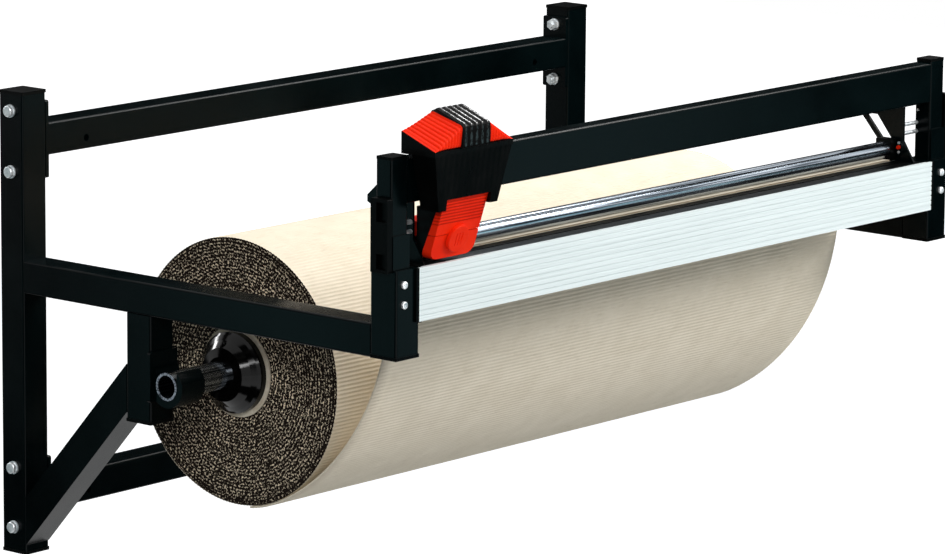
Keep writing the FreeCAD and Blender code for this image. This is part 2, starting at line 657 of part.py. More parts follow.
def table_profile():
    """The aluminium front profile: a grooved face that laps over the posts, and a hollow body."""
    bottom = TABLE_Z - PROFILE_HEIGHT
    body = box(-TABLE_END, TABLE_END, PROFILE_BACK, POST_FRONT, bottom, TABLE_Z)
    face = box(-PROFILE_END, PROFILE_END, POST_FRONT, TABLE_FRONT, bottom, TABLE_Z)
    profile = body.fuse(face)
    pitch = PROFILE_HEIGHT / (GROOVES + 1)
    for number in range(1, GROOVES + 1):
        z = bottom + number * pitch
        profile = profile.cut(box(-PROFILE_END - 1, PROFILE_END + 1, TABLE_FRONT - GROOVE_DEPTH,
                                  TABLE_FRONT + 1, z - GROOVE_WIDTH / 2, z + GROOVE_WIDTH / 2))
    ceiling = TABLE_Z - SLOT_DEPTH - PROFILE_WALL
    cavity = box(-TABLE_END - 1, TABLE_END + 1, PROFILE_BACK + PROFILE_WALL, POST_FRONT - 0.5,
                 bottom + PROFILE_WALL, ceiling)
    recess = box(-TABLE_END - 1, TABLE_END + 1, STRIP_BACK, STRIP_FRONT,
                 TABLE_Z - STRIP_THICK, TABLE_Z + 1)
    slot = box(-TABLE_END - 1, TABLE_END + 1, SLOT_Y - SLOT_WIDTH / 2, SLOT_Y + SLOT_WIDTH / 2,
               TABLE_Z - SLOT_DEPTH, TABLE_Z + 1)
    return profile.cut([cavity, recess, slot]).removeSplitter()


def cutting_strips():
    """Black plastic strips on both sides of the blade's slot, flush with the table."""
    low = TABLE_Z - STRIP_THICK
    front = box(-TABLE_END, TABLE_END, SLOT_Y + SLOT_WIDTH / 2, STRIP_FRONT, low, TABLE_Z)
    back = box(-TABLE_END, TABLE_END, STRIP_BACK, SLOT_Y - SLOT_WIDTH / 2, low, TABLE_Z)
    return [front, back]


def slot_floor():
    """The pale strip on the bottom of the slot."""
    return box(-TABLE_END, TABLE_END, SLOT_Y - SLOT_WIDTH / 2, SLOT_Y + SLOT_WIDTH / 2,
               TABLE_Z - SLOT_DEPTH, TABLE_Z - SLOT_DEPTH + 2.0)


def profile_cap():
    """The dark cap on the left end of the profile's face."""
    bottom = TABLE_Z - PROFILE_HEIGHT
    cap = box(-PROFILE_END - PROFILE_CAP, -PROFILE_END, POST_FRONT, TABLE_FRONT, bottom, TABLE_Z)
    return cap


def table_bed():
    """The folded sheet behind the profile, with a lip turned down at the back."""
    front = PROFILE_BACK
    plate = box(-TABLE_END, TABLE_END, BED_BACK, front, TABLE_Z - BED_LIP, TABLE_Z)
    corner = [edge for edge in edges_along(plate, AXIS_X)
              if abs(edge.CenterOfMass.y + BED_BACK) < 0.1 and edge.CenterOfMass.z > TABLE_Z - 1]
    plate = plate.makeFillet(BED_CORNER, corner)
    hollow = box(-TABLE_END + CLEAT, TABLE_END - CLEAT, BED_BACK + BED_PLATE, front - BED_PLATE,
                 TABLE_Z - BED_LIP - 1, TABLE_Z - BED_PLATE)
    hollow_corner = [edge for edge in edges_along(hollow, AXIS_X)
                     if abs(edge.CenterOfMass.y + BED_BACK + BED_PLATE) < 0.1
                     and edge.CenterOfMass.z > TABLE_Z - BED_PLATE - 1]
    hollow = hollow.makeFillet(BED_CORNER - BED_PLATE, hollow_corner)
    bed = plate.cut(hollow)
    for height in TABLE_SCREW_Z:
        if height > TABLE_Z - BED_LIP:
            for side in (-1, 1):
                bed = bed.cut(rod_x(SOCKET_SCREW / 2 + THREAD_GAP, side * (TABLE_END - CLEAT - 1),
                                    side * (TABLE_END + 1), TABLE_SCREW_Y, height))
    return bed


def table_cleat():
    """The plate welded to the left post and arm, which the bed's end is screwed to."""
    bottom = ARM_Z + TUBE / 2
    outline = [(CLEAT_BACK, bottom), (CLEAT_BACK, TABLE_Z - 12), (CLEAT_BACK + 10, TABLE_Z - 2),
               (POST_FRONT, TABLE_Z - 2), (POST_FRONT, bottom)]
    cleat = plate_yz(outline, -INNER_X, -TABLE_END)
    for height in TABLE_SCREW_Z:
        cleat = cleat.cut(rod_x(SOCKET_SCREW / 2 + BOLT_HOLE_GAP, -INNER_X - 1, -TABLE_END + 1,
                                TABLE_SCREW_Y, height))
    return cleat


def bridge_leg():
    """Left bridge leg: a tube on a flange, with a slotted spigot that slides in the front post."""
    tube = square_tube(-OUTER_X, -LEG_INNER_X, LEG_BACK, LEG_FRONT, TABLE_Z, LEG_TOP - LEG_CAP, AXIS_Z,
                       LEG_WALL)
    flange = square_bar(-OUTER_X, -INNER_X, ARM_REACH, POST_FRONT, POST_TOP_Z, TABLE_Z, AXIS_Z, TUBE_CORNER)
    reach = TUBE_WALL + SPIGOT_FIT
    spigot = box(-OUTER_X + reach, -INNER_X - reach, ARM_REACH + reach, POST_FRONT - reach,
                 SPIGOT_BOTTOM, POST_TOP_Z)
    spigot = spigot.makeFillet(1.0, edges_along(spigot, AXIS_Z))
    slot_low = min(GUIDE_SCREW_Z) - LIFT - GUIDE_SCREW / 2 - LIFT_STOP_GAP
    slot_high = max(GUIDE_SCREW_Z) + GUIDE_SCREW / 2 + LIFT_STOP_GAP
    half = GUIDE_SCREW / 2 + 0.2
    slot = box(-GUIDE_SCREW_X - half, -GUIDE_SCREW_X + half, POST_FRONT - 14, POST_FRONT, slot_low, slot_high)
    return tube.fuse([flange, spigot]).cut(slot).removeSplitter()


def guide_screw(height):
    """A pan-head screw in the left front post, whose tip runs in the spigot's slot."""
    head = rod_y(GUIDE_HEAD / 2, POST_FRONT, POST_FRONT + GUIDE_HEAD_HIGH, -GUIDE_SCREW_X, height)
    rim = [edge for edge in head.Edges if abs(edge.CenterOfMass.y + POST_FRONT + GUIDE_HEAD_HIGH) < 0.1]
    head = head.makeFillet(1.4, rim[:1])
    shank = rod_y(GUIDE_SCREW / 2, POST_FRONT - 11, POST_FRONT + 0.1, -GUIDE_SCREW_X, height)
    top = POST_FRONT + GUIDE_HEAD_HIGH
    drive = box(-GUIDE_SCREW_X - 3, -GUIDE_SCREW_X + 3, top - 1.2, top + 1, height - 0.6, height + 0.6)
    return head.fuse(shank).cut(drive).removeSplitter()


def leg_cap():
    """The plastic cap on top of the left leg."""
    cap = box(-OUTER_X, -LEG_INNER_X, LEG_BACK, LEG_FRONT, LEG_TOP - LEG_CAP, LEG_TOP)
    cap = cap.makeFillet(1.5, edges_along(cap, AXIS_Z))
    reach = LEG_WALL + PLUG_GAP
    plug = square_bar(-OUTER_X + reach, -LEG_INNER_X - reach, LEG_BACK + reach, LEG_FRONT - reach,
                      LEG_TOP - LEG_CAP - CAP_PLUG, LEG_TOP - LEG_CAP, AXIS_Z, PLUG_CORNER)
    return cap.fuse(plug).removeSplitter()


def bridge_beam():
    """The flat tube between the legs, above the cutter head's path."""
    return square_tube(-LEG_INNER_X, LEG_INNER_X, BEAM_BACK, BEAM_BACK + BEAM_DEEP, BEAM_TOP - BEAM_HIGH,
                       BEAM_TOP, AXIS_X, LEG_WALL)


def leg_side_cover():
    """Cover on the left leg's outer face, with two rectangular pockets."""
    outer_x = -OUTER_X - SIDE_COVER_THICK
    front = LEG_FRONT + SIDE_COVER_PROUD
    cover = box(outer_x, -OUTER_X, LEG_BACK, front, SIDE_COVER_BOTTOM, SIDE_COVER_TOP)
    cover = cover.makeFillet(1.5, edges_along(cover, AXIS_X))
    for low, high in COVER_WINDOWS:
        pocket = box(outer_x - 1, outer_x + COVER_POCKET_DEPTH, front - COVER_RIM, LEG_BACK + POCKET_IN,
                     low, high)
        cover = cover.cut(pocket)
    return cover


def leg_front_plate():
    """Flat plate on the front of the left leg's foot."""
    plate = box(-OUTER_X, -LEG_INNER_X, LEG_FRONT, LEG_FRONT + FRONT_PLATE_THICK, TABLE_Z + 0.5,
                FRONT_PLATE_TOP)
    return plate.makeFillet(1.0, edges_along(plate, AXIS_Y))


def guide_rod():
    """The chrome rod that presses on the paper and guides the cutter head."""
    end = ROD_SHOWN + BLOCK_SOCKET
    outer = rod_x(ROD_RADIUS, -end, end, ROD_Y, ROD_Z)
    return outer.cut(rod_x(ROD_RADIUS - ROD_WALL, -end - 1, end + 1, ROD_Y, ROD_Z))


def rod_end_block():
    """Left end block, with a socket for the rod."""
    x0 = -ROD_SHOWN - BLOCK_THICK
    block = box(x0, -ROD_SHOWN, BLOCK_BACK, BLOCK_FRONT, TABLE_Z + BLOCK_SEAT, BLOCK_TOP)
    block = block.makeFillet(1.5, edges_along(block, AXIS_X))
    return block.cut(rod_x(ROD_RADIUS, -ROD_SHOWN - BLOCK_SOCKET, -ROD_SHOWN + 1, ROD_Y, ROD_Z))


def rod_bracket():
    """Left bracket plate that carries the rod's end block from the beam."""
    under_beam = BEAM_TOP - BEAM_HIGH - 0.1
    low, high = [(ROD_Y + ahead, height) for ahead, height in (BRACKET_SLOPE_LOW, BRACKET_SLOPE_HIGH)]
    outline = [
        (BRACKET_TOE, TABLE_Z + BLOCK_SEAT), (BRACKET_FRONT, BLOCK_TOP - 2), (BRACKET_FRONT, under_beam),
        (BEAM_BACK, under_beam), (BEAM_BACK, BRACKET_TAB_TOP), (BEAM_BACK - 16, BRACKET_TAB_TOP),
        (high[0] - 28.5, high[1] + 14.0), (high[0] - 28.5, high[1] + 6.0), (high[0] - 16.0, high[1]),
        high, low,
        (BLOCK_BACK, low[1]), (BLOCK_BACK, TABLE_Z + BLOCK_SEAT),
    ]
    return plate_yz(outline, -BRACKET_X - BRACKET_THICK, -BRACKET_X)


def rod_brace():
    """The thin bar beside the left bracket: its line runs through the rod's axis up to the bracket's ear."""
    slope = math.radians(BRACE_ANGLE)
    along = (-math.cos(slope), math.sin(slope))
    half = (BRACE_WIDE / 2 * math.sin(slope), BRACE_WIDE / 2 * math.cos(slope))
    length = (BRACE_TOP_Z - ROD_Z) / math.sin(slope)
    outline = [
        (ROD_Y + along[0] * reach + side * half[0], ROD_Z + along[1] * reach + side * half[1])
        for reach, side in ((8.0, 1), (length, 1), (length, -1), (8.0, -1))
    ]
    bar = plate_yz(outline, -BRACKET_X, -BRACKET_X + BRACE_THICK)
    block = box(-BRACKET_X, -ROD_SHOWN, BLOCK_BACK, BLOCK_FRONT, TABLE_Z, BLOCK_TOP)
    return bar.cut(block)


def bracket_pins():
    """Steel pins at the left bracket: two spacers to the leg, two rivets and a screw on the leg."""
    pins = [rod_x(SPACER_RADIUS, -LEG_INNER_X, -BRACKET_X - BRACKET_THICK, SPACER_Y, height)
            for height in SPACER_Z]
    pins += [rod_x(PIN_RADIUS, -BRACKET_X, -BRACKET_X + 1.2, END_STUD_Y, height) for height in END_PIN_Z]
    pins.append(rod_x(PIN_RADIUS, -LEG_INNER_X, -LEG_INNER_X + 1.5, SPACER_Y + 2, 497.0))
    return pins


def end_stud():
    """The small red stud on the inner face of the left bracket, beside the end block."""
    return rod_x(STUD_RADIUS, -BRACKET_X, -BRACKET_X + 3.0, END_STUD_Y, END_STUD_Z)


def grip_pad(side):
    """A red sloping pad on top of the head, ending in a triangle on its front."""
    x_in, x_out = HEAD_X + side * STRIP_HALF, HEAD_X + side * HEAD_HALF
    out_back, in_back = V(x_out, -HEAD_BACK, CAP_BACK_Z), V(x_in, -HEAD_BACK, CAP_BACK_Z)
    out_front, in_front = V(x_out, -HEAD_FRONT, CAP_FRONT_Z), V(x_in, -HEAD_FRONT, CAP_FRONT_Z)
    top_front = V(x_in, -CROWN_FRONT, CROWN_FRONT_Z - PAD_BELOW_CROWN)
    top_back = V(x_in, -CROWN_BACK + CROWN_SLOPE, CROWN_BACK_Z - 2 * PAD_BELOW_CROWN)
    faces = [
        [out_back, in_back, in_front, out_front],
        [out_front, in_front, top_front],
        [out_back, out_front, top_front], [out_back, top_front, top_back],
        [out_back, top_back, in_back],
        [in_back, top_back, top_front], [in_back, top_front, in_front],
    ]
    shell = Part.makeShell([Part.Face(Part.makePolygon(ring + ring[:1])) for ring in faces])
    pad = Part.makeSolid(shell)
    if pad.Volume < 0:
        pad.reverse()
    return pad


def palm_strip():
    """The black strip between the pads, with ridges along the head's depth."""
    outline = [
        (HEAD_BACK, CAP_BACK_Z), (CROWN_BACK - CROWN_SLOPE, CROWN_BACK_Z - 2 * PAD_BELOW_CROWN),
        (CROWN_BACK, CROWN_BACK_Z - PALM_RIB_HIGH),
        (CROWN_FRONT, CROWN_FRONT_Z - PALM_RIB_HIGH), (CROWN_FRONT + 2, CROWN_FRONT_Z - 6),
        (CROWN_FRONT + 1, CAP_FRONT_Z), (HEAD_FRONT, CAP_FRONT_Z),
    ]
    strip = plate_yz(outline, HEAD_X - STRIP_HALF, HEAD_X + STRIP_HALF)
    pitch = 2 * STRIP_HALF / PALM_RIBS
    rise = (CROWN_BACK_Z - CROWN_FRONT_Z) / (CROWN_FRONT - CROWN_BACK)
    for number in range(PALM_RIBS):
        x = HEAD_X - STRIP_HALF + (number + 0.5) * pitch
        low = (CROWN_FRONT, CROWN_FRONT_Z - PALM_RIB_HIGH - 1)
        high = (CROWN_BACK, CROWN_FRONT_Z + rise * (CROWN_FRONT - CROWN_BACK) - PALM_RIB_HIGH - 1)
        top_low, top_high = (low[0], low[1] + PALM_RIB_HIGH + 1), (high[0], high[1] + PALM_RIB_HIGH + 1)
        ridge = plate_yz([low, top_low, top_high, high], x - pitch * 0.28, x + pitch * 0.28)
        strip = strip.fuse(ridge)
    return strip.removeSplitter()


def cover_front(height):
    """How far the red cover's face stands from the wall at a height."""
    share = (height - NOSE_BOTTOM_Z) / (COVER_TOP_Z - NOSE_BOTTOM_Z)
    return COVER_LOW_FRONT + share * (COVER_TOP_FRONT - COVER_LOW_FRONT)


def leaning_block(half, low, high, back_low, back_high, front):
    """A block under the leaning face: its back is given at both heights, its front from the face."""
    x = HEAD_X
    return hull_between((x - half, x + half, back_low, cover_front(low) + front),
                        (x - half, x + half, back_high, cover_front(high) + front), low, high)


def with_round_foot(block, half, low, corner):
    """Round the two lower corners of a block, seen from the front."""
    blank = box(HEAD_X - half, HEAD_X + half, SLOT_Y - 100, SLOT_Y + 100, low, low + 200)
    feet = [edge for edge in edges_along(blank, AXIS_Y) if edge.CenterOfMass.z < low + 1]
    return block.common(blank.makeFillet(corner, feet))


def cover_hull(half, low, high, front):
    """The room that the red covers take up: their face, their skirts and what lies between."""
    depth = [SKIRT_LOW_DEPTH + (SKIRT_TOP_DEPTH - SKIRT_LOW_DEPTH) * (z - NOSE_BOTTOM_Z)
             / (COVER_TOP_Z - NOSE_BOTTOM_Z) for z in (low, high)]
    return leaning_block(half, low, high, cover_front(low) - depth[0], cover_front(high) - depth[1], front)


def nose_hull():
    """The nose's outer form."""
    nose = leaning_block(NOSE_HALF, NOSE_BOTTOM_Z + SKIRT, WAIST_Z, NOSE_BACK, NOSE_BACK, -COVER_THICK)
    return with_round_foot(nose, NOSE_HALF, NOSE_BOTTOM_Z + SKIRT, NOSE_CORNER)


def head_body():
    """The black upper shell: in front of the beam and over its top edge, open towards the beam."""
    x = HEAD_X
    chest = hull_between((x - WAIST_HALF, x + WAIST_HALF, HEAD_BACK_LOW, WAIST_FRONT),
                         (x - HEAD_HALF, x + HEAD_HALF, HEAD_BACK_LOW, HEAD_FRONT), WAIST_Z, CAP_FRONT_Z)
    over_beam = BEAM_TOP + HEAD_OVER_BEAM
    neck = plate_yz([(HEAD_BACK, over_beam), (HEAD_FRONT, over_beam), (HEAD_FRONT, CAP_FRONT_Z),
                     (HEAD_BACK, CAP_BACK_Z)], x - HEAD_HALF, x + HEAD_HALF)
    hollow = hull_between((x - WAIST_HALF + HEAD_WALL, x + WAIST_HALF - HEAD_WALL, HEAD_BACK_LOW - 1,
                           WAIST_FRONT - HEAD_WALL),
                          (x - HEAD_HALF + HEAD_WALL, x + HEAD_HALF - HEAD_WALL, HEAD_BACK_LOW - 1,
                           HEAD_FRONT - HEAD_WALL), WAIST_Z + HEAD_WALL, over_beam - HEAD_WALL)
    ledge_half = NOSE_HALF + SKIRT + HEAD_WALL
    ledge = box(x - ledge_half, x + ledge_half, HEAD_BACK_LOW, WAIST_FRONT - HEAD_WALL / 2, WAIST_Z,
                COVER_TOP_Z + HEAD_WALL)
    tongue = cover_hull(NOSE_HALF + SKIRT + COVER_GAP, WAIST_Z - 1, COVER_TOP_Z + COVER_GAP, 20)
    return chest.fuse(neck).cut(hollow).fuse(ledge).cut(tongue).removeSplitter()


def holder_room(slack):
    """The room for the blade holder, larger than the holder by a slack."""
    half, deep = BLADE_HALF + HOLDER_WALL + slack, HOLDER_DEEP / 2 + slack
    return box(HEAD_X - half, HEAD_X + half, SLOT_Y - deep, SLOT_Y + deep, NOSE_BOTTOM_Z - 1, HOLDER_TOP_Z)


def cover_axis_rod(radius, start, end):
    """A round bar on the knob's axis, measured outwards from the cover's face."""
    outwards = V(0, -math.cos(COVER_LEAN), -math.sin(COVER_LEAN))
    on_face = V(HEAD_X, -cover_front(KNOB_Z), KNOB_Z)
    return Part.makeCylinder(radius, end - start, on_face + outwards * start, outwards)


def nose_body():
    """The black lower body behind the red covers, with room for the blade holder and knob stem."""
    stem = cover_axis_rod(KNOB_STEM / 2 + STEM_FIT, -STEM_LENGTH - STEM_HEAD_HIGH - 0.5, 0)
    stem_head = cover_axis_rod(STEM_HEAD_RADIUS + 0.5, -STEM_LENGTH - STEM_HEAD_HIGH - 0.5,
                               -STEM_LENGTH + 0.1)
    return nose_hull().cut([holder_room(HOLDER_GAP), stem, stem_head])


def red_covers():
    """The upper cover, ribbed, and the lower one, with skirts round the nose's sides and foot."""
    half = NOSE_HALF + SKIRT
    whole = with_round_foot(cover_hull(half, NOSE_BOTTOM_Z, COVER_TOP_Z, 0), half, NOSE_BOTTOM_Z,
                            NOSE_CORNER + SKIRT)
    whole = whole.cut([nose_hull(), cover_axis_rod(KNOB_STEM / 2 + STEM_FIT, -COVER_THICK - 2, 1)])
    for number in range(COVER_RIBS):
        z = COVER_TOP_Z - (number + 1) * COVER_RIB_PITCH
        face = cover_front(z)
        whole = whole.cut(box(HEAD_X - half + 2, HEAD_X + half - 2, face - COVER_RIB_DEEP, face + 4,
                              z - COVER_RIB_PITCH / 4, z + COVER_RIB_PITCH / 4))
    covers = []
    for low, high in ((COVER_SPLIT_Z + COVER_SPLIT_GAP / 2, COVER_TOP_Z + 1),
                      (NOSE_BOTTOM_Z - 1, COVER_SPLIT_Z - COVER_SPLIT_GAP / 2)):
        covers.append(whole.common(box(HEAD_X - half - 1, HEAD_X + half + 1, SLOT_Y, SLOT_Y + 80, low, high)))
    return covers


def lock_knob():
    """The round red knob with grip grooves, on a stem with a retaining head."""
    knob = cover_axis_rod(KNOB_RADIUS, KNOB_GAP, KNOB_GAP + KNOB_HIGH)
    outwards = V(0, -math.cos(COVER_LEAN), -math.sin(COVER_LEAN))
    rims = [edge for edge in knob.Edges if edge.Curve.TypeId == "Part::GeomCircle"]
    rim = max(rims, key=lambda edge: edge.CenterOfMass.dot(outwards))
    knob = knob.makeFillet(1.2, [rim])
    on_face = V(HEAD_X, -cover_front(KNOB_Z), KNOB_Z)
    upwards = V(0, -math.sin(COVER_LEAN), math.cos(COVER_LEAN))
    grooves = []
    for number in (-1, 0, 1):
        corner = on_face + outwards * (KNOB_GAP + KNOB_HIGH - 0.8) - upwards * 8 + V(number * 5 - 0.7, 0, 0)
        ring = [corner, corner + V(1.4, 0, 0), corner + V(1.4, 0, 0) + outwards * 3, corner + outwards * 3]
        grooves.append(prism(ring, upwards * 16))
    stem = cover_axis_rod(KNOB_STEM / 2, -STEM_LENGTH, KNOB_GAP + 1)
    stop = cover_axis_rod(STEM_HEAD_RADIUS, -STEM_LENGTH - STEM_HEAD_HIGH, -STEM_LENGTH)
    return knob.cut(grooves).fuse([stem, stop]).removeSplitter()


def guide_shoe():
    """The red shoe that hooks over the rod from above and carries the head."""
    rod_front = ROD_Y - 4
    outline = [
        (NOSE_BACK, SHOE_FRONT_LOW), (NOSE_BACK, SHOE_TOP), (SHOE_BACK + 4, SHOE_TOP),
        (SHOE_BACK, SHOE_TOP - 5),
        (SHOE_BACK, SHOE_BOTTOM + 3), (SHOE_BACK + 3, SHOE_BOTTOM), (rod_front, SHOE_BOTTOM),
        (rod_front, ROD_Z), (ROD_Y, SHOE_FRONT_LOW),
    ]
    shoe = plate_yz(outline, HEAD_X - SHOE_HALF, HEAD_X + SHOE_HALF)
    bore = rod_x(ROD_RADIUS + SHOE_FIT, HEAD_X - SHOE_HALF - 1, HEAD_X + SHOE_HALF + 1, ROD_Y, ROD_Z)
    return shoe.cut([bore, holder_room(HOLDER_GAP)])


def blade_holder():
    """The steel clip in the nose that grips the blade."""
    clip = holder_room(0).cut(box(HEAD_X - 100, HEAD_X + 100, SLOT_Y - 20, SLOT_Y + 20, 0, NOSE_BOTTOM_Z + 3))
    pocket = box(HEAD_X - BLADE_HALF, HEAD_X + BLADE_HALF, SLOT_Y - BLADE_THICK / 2, SLOT_Y + BLADE_THICK / 2,
                 NOSE_BOTTOM_Z, BLADE_TOP_Z)
    return clip.cut(pocket)


def cutter_blade():
    """A flat blade with a pointed tip that runs in the table's slot."""
    x = HEAD_X
    outline = [(x - BLADE_HALF, BLADE_TOP_Z), (x + BLADE_HALF, BLADE_TOP_Z),
               (x + BLADE_HALF, NOSE_BOTTOM_Z + 1), (x, BLADE_TIP_Z), (x - BLADE_HALF, NOSE_BOTTOM_Z + 1)]
    return plate_xz(outline, SLOT_Y - BLADE_THICK / 2, SLOT_Y + BLADE_THICK / 2)


def main():
    """Build and save every node."""
    left_post = wall_post()
    save("wall_post_left", left_post)
    save("wall_post_right", mirrored(left_post))
    caps = [
        end_cap(0, 0, CAP_THICK, 1),
        end_cap(0, 0, POST_HEIGHT - CAP_THICK, -1),
        end_cap(ARM_REACH, ARM_REACH, ARM_Z - TUBE / 2 + CAP_THICK, 1),
        end_cap(HANGER_BACK, HANGER_BACK - CAP_PROUD, HANGER_BOTTOM + CAP_THICK, 1),
    ]
    save("tube_end_caps", caps + [mirrored(cap) for cap in caps])
    save("upper_back_beam", back_beam(UPPER_BEAM_Z))
    save("lower_back_beam", back_beam(LOWER_BEAM_Z))
    plates = [beam_plate(UPPER_BEAM_Z), beam_plate(LOWER_BEAM_Z)]
    save("beam_end_plates", plates + [mirrored(plate) for plate in plates])
    save("wall_fixing_sleeves", fixing_sleeves())
    for name, pieces in zip(("frame_bolts", "frame_washers", "frame_nuts"), frame_fasteners()):
        save(name, pieces + [mirrored(piece) for piece in pieces])
    for name, piece in (("side_arm", side_arm()), ("front_post", front_post()), ("roll_hanger", hanger()),
                        ("hanger_strut", strut()), ("axle_cradle", axle_cradle())):
        save(name + "_left", piece)
        save(name + "_right", mirrored(piece))
    save("table_profile", table_profile())
    save("profile_end_caps", both_sides(profile_cap()))
    save("cutting_strips", cutting_strips())
    save("slot_floor_strip", slot_floor())
    save("table_bed", table_bed())
    save("table_cleats", both_sides(table_cleat()))
    table_screws = [socket_screw_x(-INNER_X, TABLE_SCREW_Y, height, CLEAT + 8) for height in TABLE_SCREW_Z]
    save("table_screws", table_screws + [mirrored(screw) for screw in table_screws])
    guide_screws = [guide_screw(height) for height in GUIDE_SCREW_Z]
    save("bridge_guide_screws", guide_screws + [mirrored(screw) for screw in guide_screws])
    save("paper_web", paper_web())

    save("axle_tube", axle_tube())
    cone, grub = core_cone(ROLL_LEFT), set_screw(ROLL_LEFT)
    save("core_cone_left", cone)
    save("core_cone_right", for_right_end(cone))
    save("cone_set_screws", [grub, for_right_end(grub)])
    save("roll_core", roll_core())
    save("paper_roll", paper_roll())

    leg = bridge_leg()
    save("bridge_leg_left", leg)
    save("bridge_leg_right", mirrored(leg))
    save("bridge_leg_caps", both_sides(leg_cap()))
    save("bridge_beam", bridge_beam())
    save("leg_side_covers", both_sides(leg_side_cover()))
    save("leg_front_plates", both_sides(leg_front_plate()))
    bracket = rod_bracket()
    save("rod_bracket_left", bracket)
    save("rod_bracket_right", mirrored(bracket))
    save("rod_braces", both_sides(rod_brace()))
    pins = bracket_pins()
    save("bracket_pins", pins + [mirrored(pin) for pin in pins])
    save("rod_end_blocks", both_sides(rod_end_block()))
    save("end_studs", both_sides(end_stud()))
    save("guide_rod", guide_rod())

    save("head_body", head_body())
    save("nose_body", nose_body())
    save("grip_pad_left", grip_pad(-1))
    save("grip_pad_right", grip_pad(1))
    save("palm_strip", palm_strip())
    for name, cover in zip(("upper_front_cover", "lower_front_cover"), red_covers()):
        save(name, cover)
    save("guide_shoe", guide_shoe())
    save("blade_holder", blade_holder())
    save("cutter_blade", cutter_blade())
    save("lock_knob", lock_knob())
    print("nodes", node_count, " head X", HEAD_X, " travel", TRAVEL, " datum Z", DATUM_Z)
    print("axle Y", AXLE_Y, " rod Z", ROD_Z, " cover lean", math.degrees(COVER_LEAN))


main()
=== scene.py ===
# %% [markdown]
# # A wall-mounted cutter for rolls of corrugated wrapping paper
#
# The object is a black frame of square steel tube that hangs on a wall. It carries a big roll of
# corrugated paper on a chrome axle. The sheet comes up from under the roll, over a table edge with
# an aluminium front, and a red and black cutter head slides along a chrome rod to cut it.
#
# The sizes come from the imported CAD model, so this lesson only dresses it: it adds materials, and
# it replaces the few nodes whose real surface has detail that exact solids leave out, such as the
# paper's flutes and the ribs of the grip pads.

# %% Load the frame and keep its box
import math

import bpy
import numpy as np
from mathutils import Matrix, Vector


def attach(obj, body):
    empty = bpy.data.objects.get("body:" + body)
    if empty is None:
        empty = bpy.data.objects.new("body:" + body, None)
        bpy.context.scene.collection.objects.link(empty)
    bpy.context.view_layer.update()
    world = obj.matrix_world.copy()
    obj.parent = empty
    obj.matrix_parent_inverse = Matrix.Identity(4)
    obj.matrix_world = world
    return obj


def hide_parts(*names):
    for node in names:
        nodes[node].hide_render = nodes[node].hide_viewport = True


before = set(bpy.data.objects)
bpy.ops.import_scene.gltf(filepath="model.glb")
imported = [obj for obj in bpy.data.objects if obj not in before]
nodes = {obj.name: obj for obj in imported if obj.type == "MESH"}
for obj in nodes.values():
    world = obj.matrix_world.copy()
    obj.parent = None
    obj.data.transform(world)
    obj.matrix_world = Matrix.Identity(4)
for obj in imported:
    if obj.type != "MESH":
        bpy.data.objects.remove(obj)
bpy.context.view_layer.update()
scene = bpy.context.scene

# %% [markdown]
# ## Camera
#
# A photograph can be matched by eye, or by working out where its camera stood. Here the corners of
# the frame gave the place, the tilt and the lens, so the camera is written as numbers: where it
# stands, how far it looks to the side and down, and a long lens, which keeps the tubes nearly
# parallel as they are in the photograph.

# %% Camera at the photograph's place
CAMERA_PLACE = Vector((-4.9903, -4.5556, 1.2738))
CAMERA_AZIMUTH, CAMERA_RISE, CAMERA_ROLL = (math.radians(a) for a in (-49.536, 10.816, 0.456))
LENS_MM, FILM_MM = 200.9, 36.0


def camera_turn(azimuth, rise, roll):
    """Rotation whose columns are the camera's right, up and back. Back points from the object to
    the camera, right is level, and both right and up are then turned by the roll."""
    level = math.cos(rise)
    back = Vector((math.sin(azimuth) * level, -math.cos(azimuth) * level, math.sin(rise)))
    right = Vector((0, 0, 1)).cross(back).normalized()
    up = back.cross(right)
    side = right * math.cos(roll) + up * math.sin(roll)
    top = up * math.cos(roll) - right * math.sin(roll)
    return Matrix((side, top, back)).transposed()


camera = bpy.data.objects.new("camera", bpy.data.cameras.new("camera"))
scene.collection.objects.link(camera)
camera.data.lens = LENS_MM
camera.data.sensor_width = FILM_MM
camera.data.clip_end = 100.0
camera.rotation_mode = "QUATERNION"
camera.location = CAMERA_PLACE
camera.rotation_quaternion = camera_turn(CAMERA_AZIMUTH, CAMERA_RISE, CAMERA_ROLL).to_quaternion()
scene.camera = camera
print("camera at", tuple(round(v, 3) for v in camera.location))

# %% [markdown]
# ## Small helpers for node trees
#
# Every material here is a tree of nodes. Joining two sockets and doing a sum take several lines
# each time, so both become functions. A third one tells which rays look at a surface: it is one for
# rays that come from the camera, straight or by way of a mirror or a glass, and zero for others.

# %% Links, sums and rays


def link(tree, source, target):
    """Join an output socket to an input socket."""
    tree.links.new(source, target)


def maths(tree, kind, first, second=0.0, third=0.0):
    """A Math node whose inputs are sockets or numbers; returns its output socket."""
    node = tree.nodes.new("ShaderNodeMath")
    node.operation = kind
    for socket, value in zip(node.inputs, (first, second, third)):
        if isinstance(value, bpy.types.NodeSocket):
            link(tree, value, socket)
        else:
            socket.default_value = value
    return node.outputs[0]


def looked_at(tree):
    """One for rays that come from the camera, a reflection or a refraction, else zero."""
    path = tree.nodes.new("ShaderNodeLightPath").outputs
    mirrored = maths(tree, "MAXIMUM", path["Is Glossy Ray"], path["Is Transmission Ray"])
    return maths(tree, "MAXIMUM", path["Is Camera Ray"], mirrored)


print("node helpers ready")

# %% [markdown]
# ## Background
#
# The photograph has a white background. More light would make one, but it would also wash out the
# black paint. So the world is white only where it is looked at, and dim as a light. The Standard
# view transform shows that white, and every colour, as it is written.

# %% World, white to look at and dim as a light
SURROUND_COLOUR, SURROUND_STRENGTH = (0.92, 0.97, 1.0, 1), 0.16

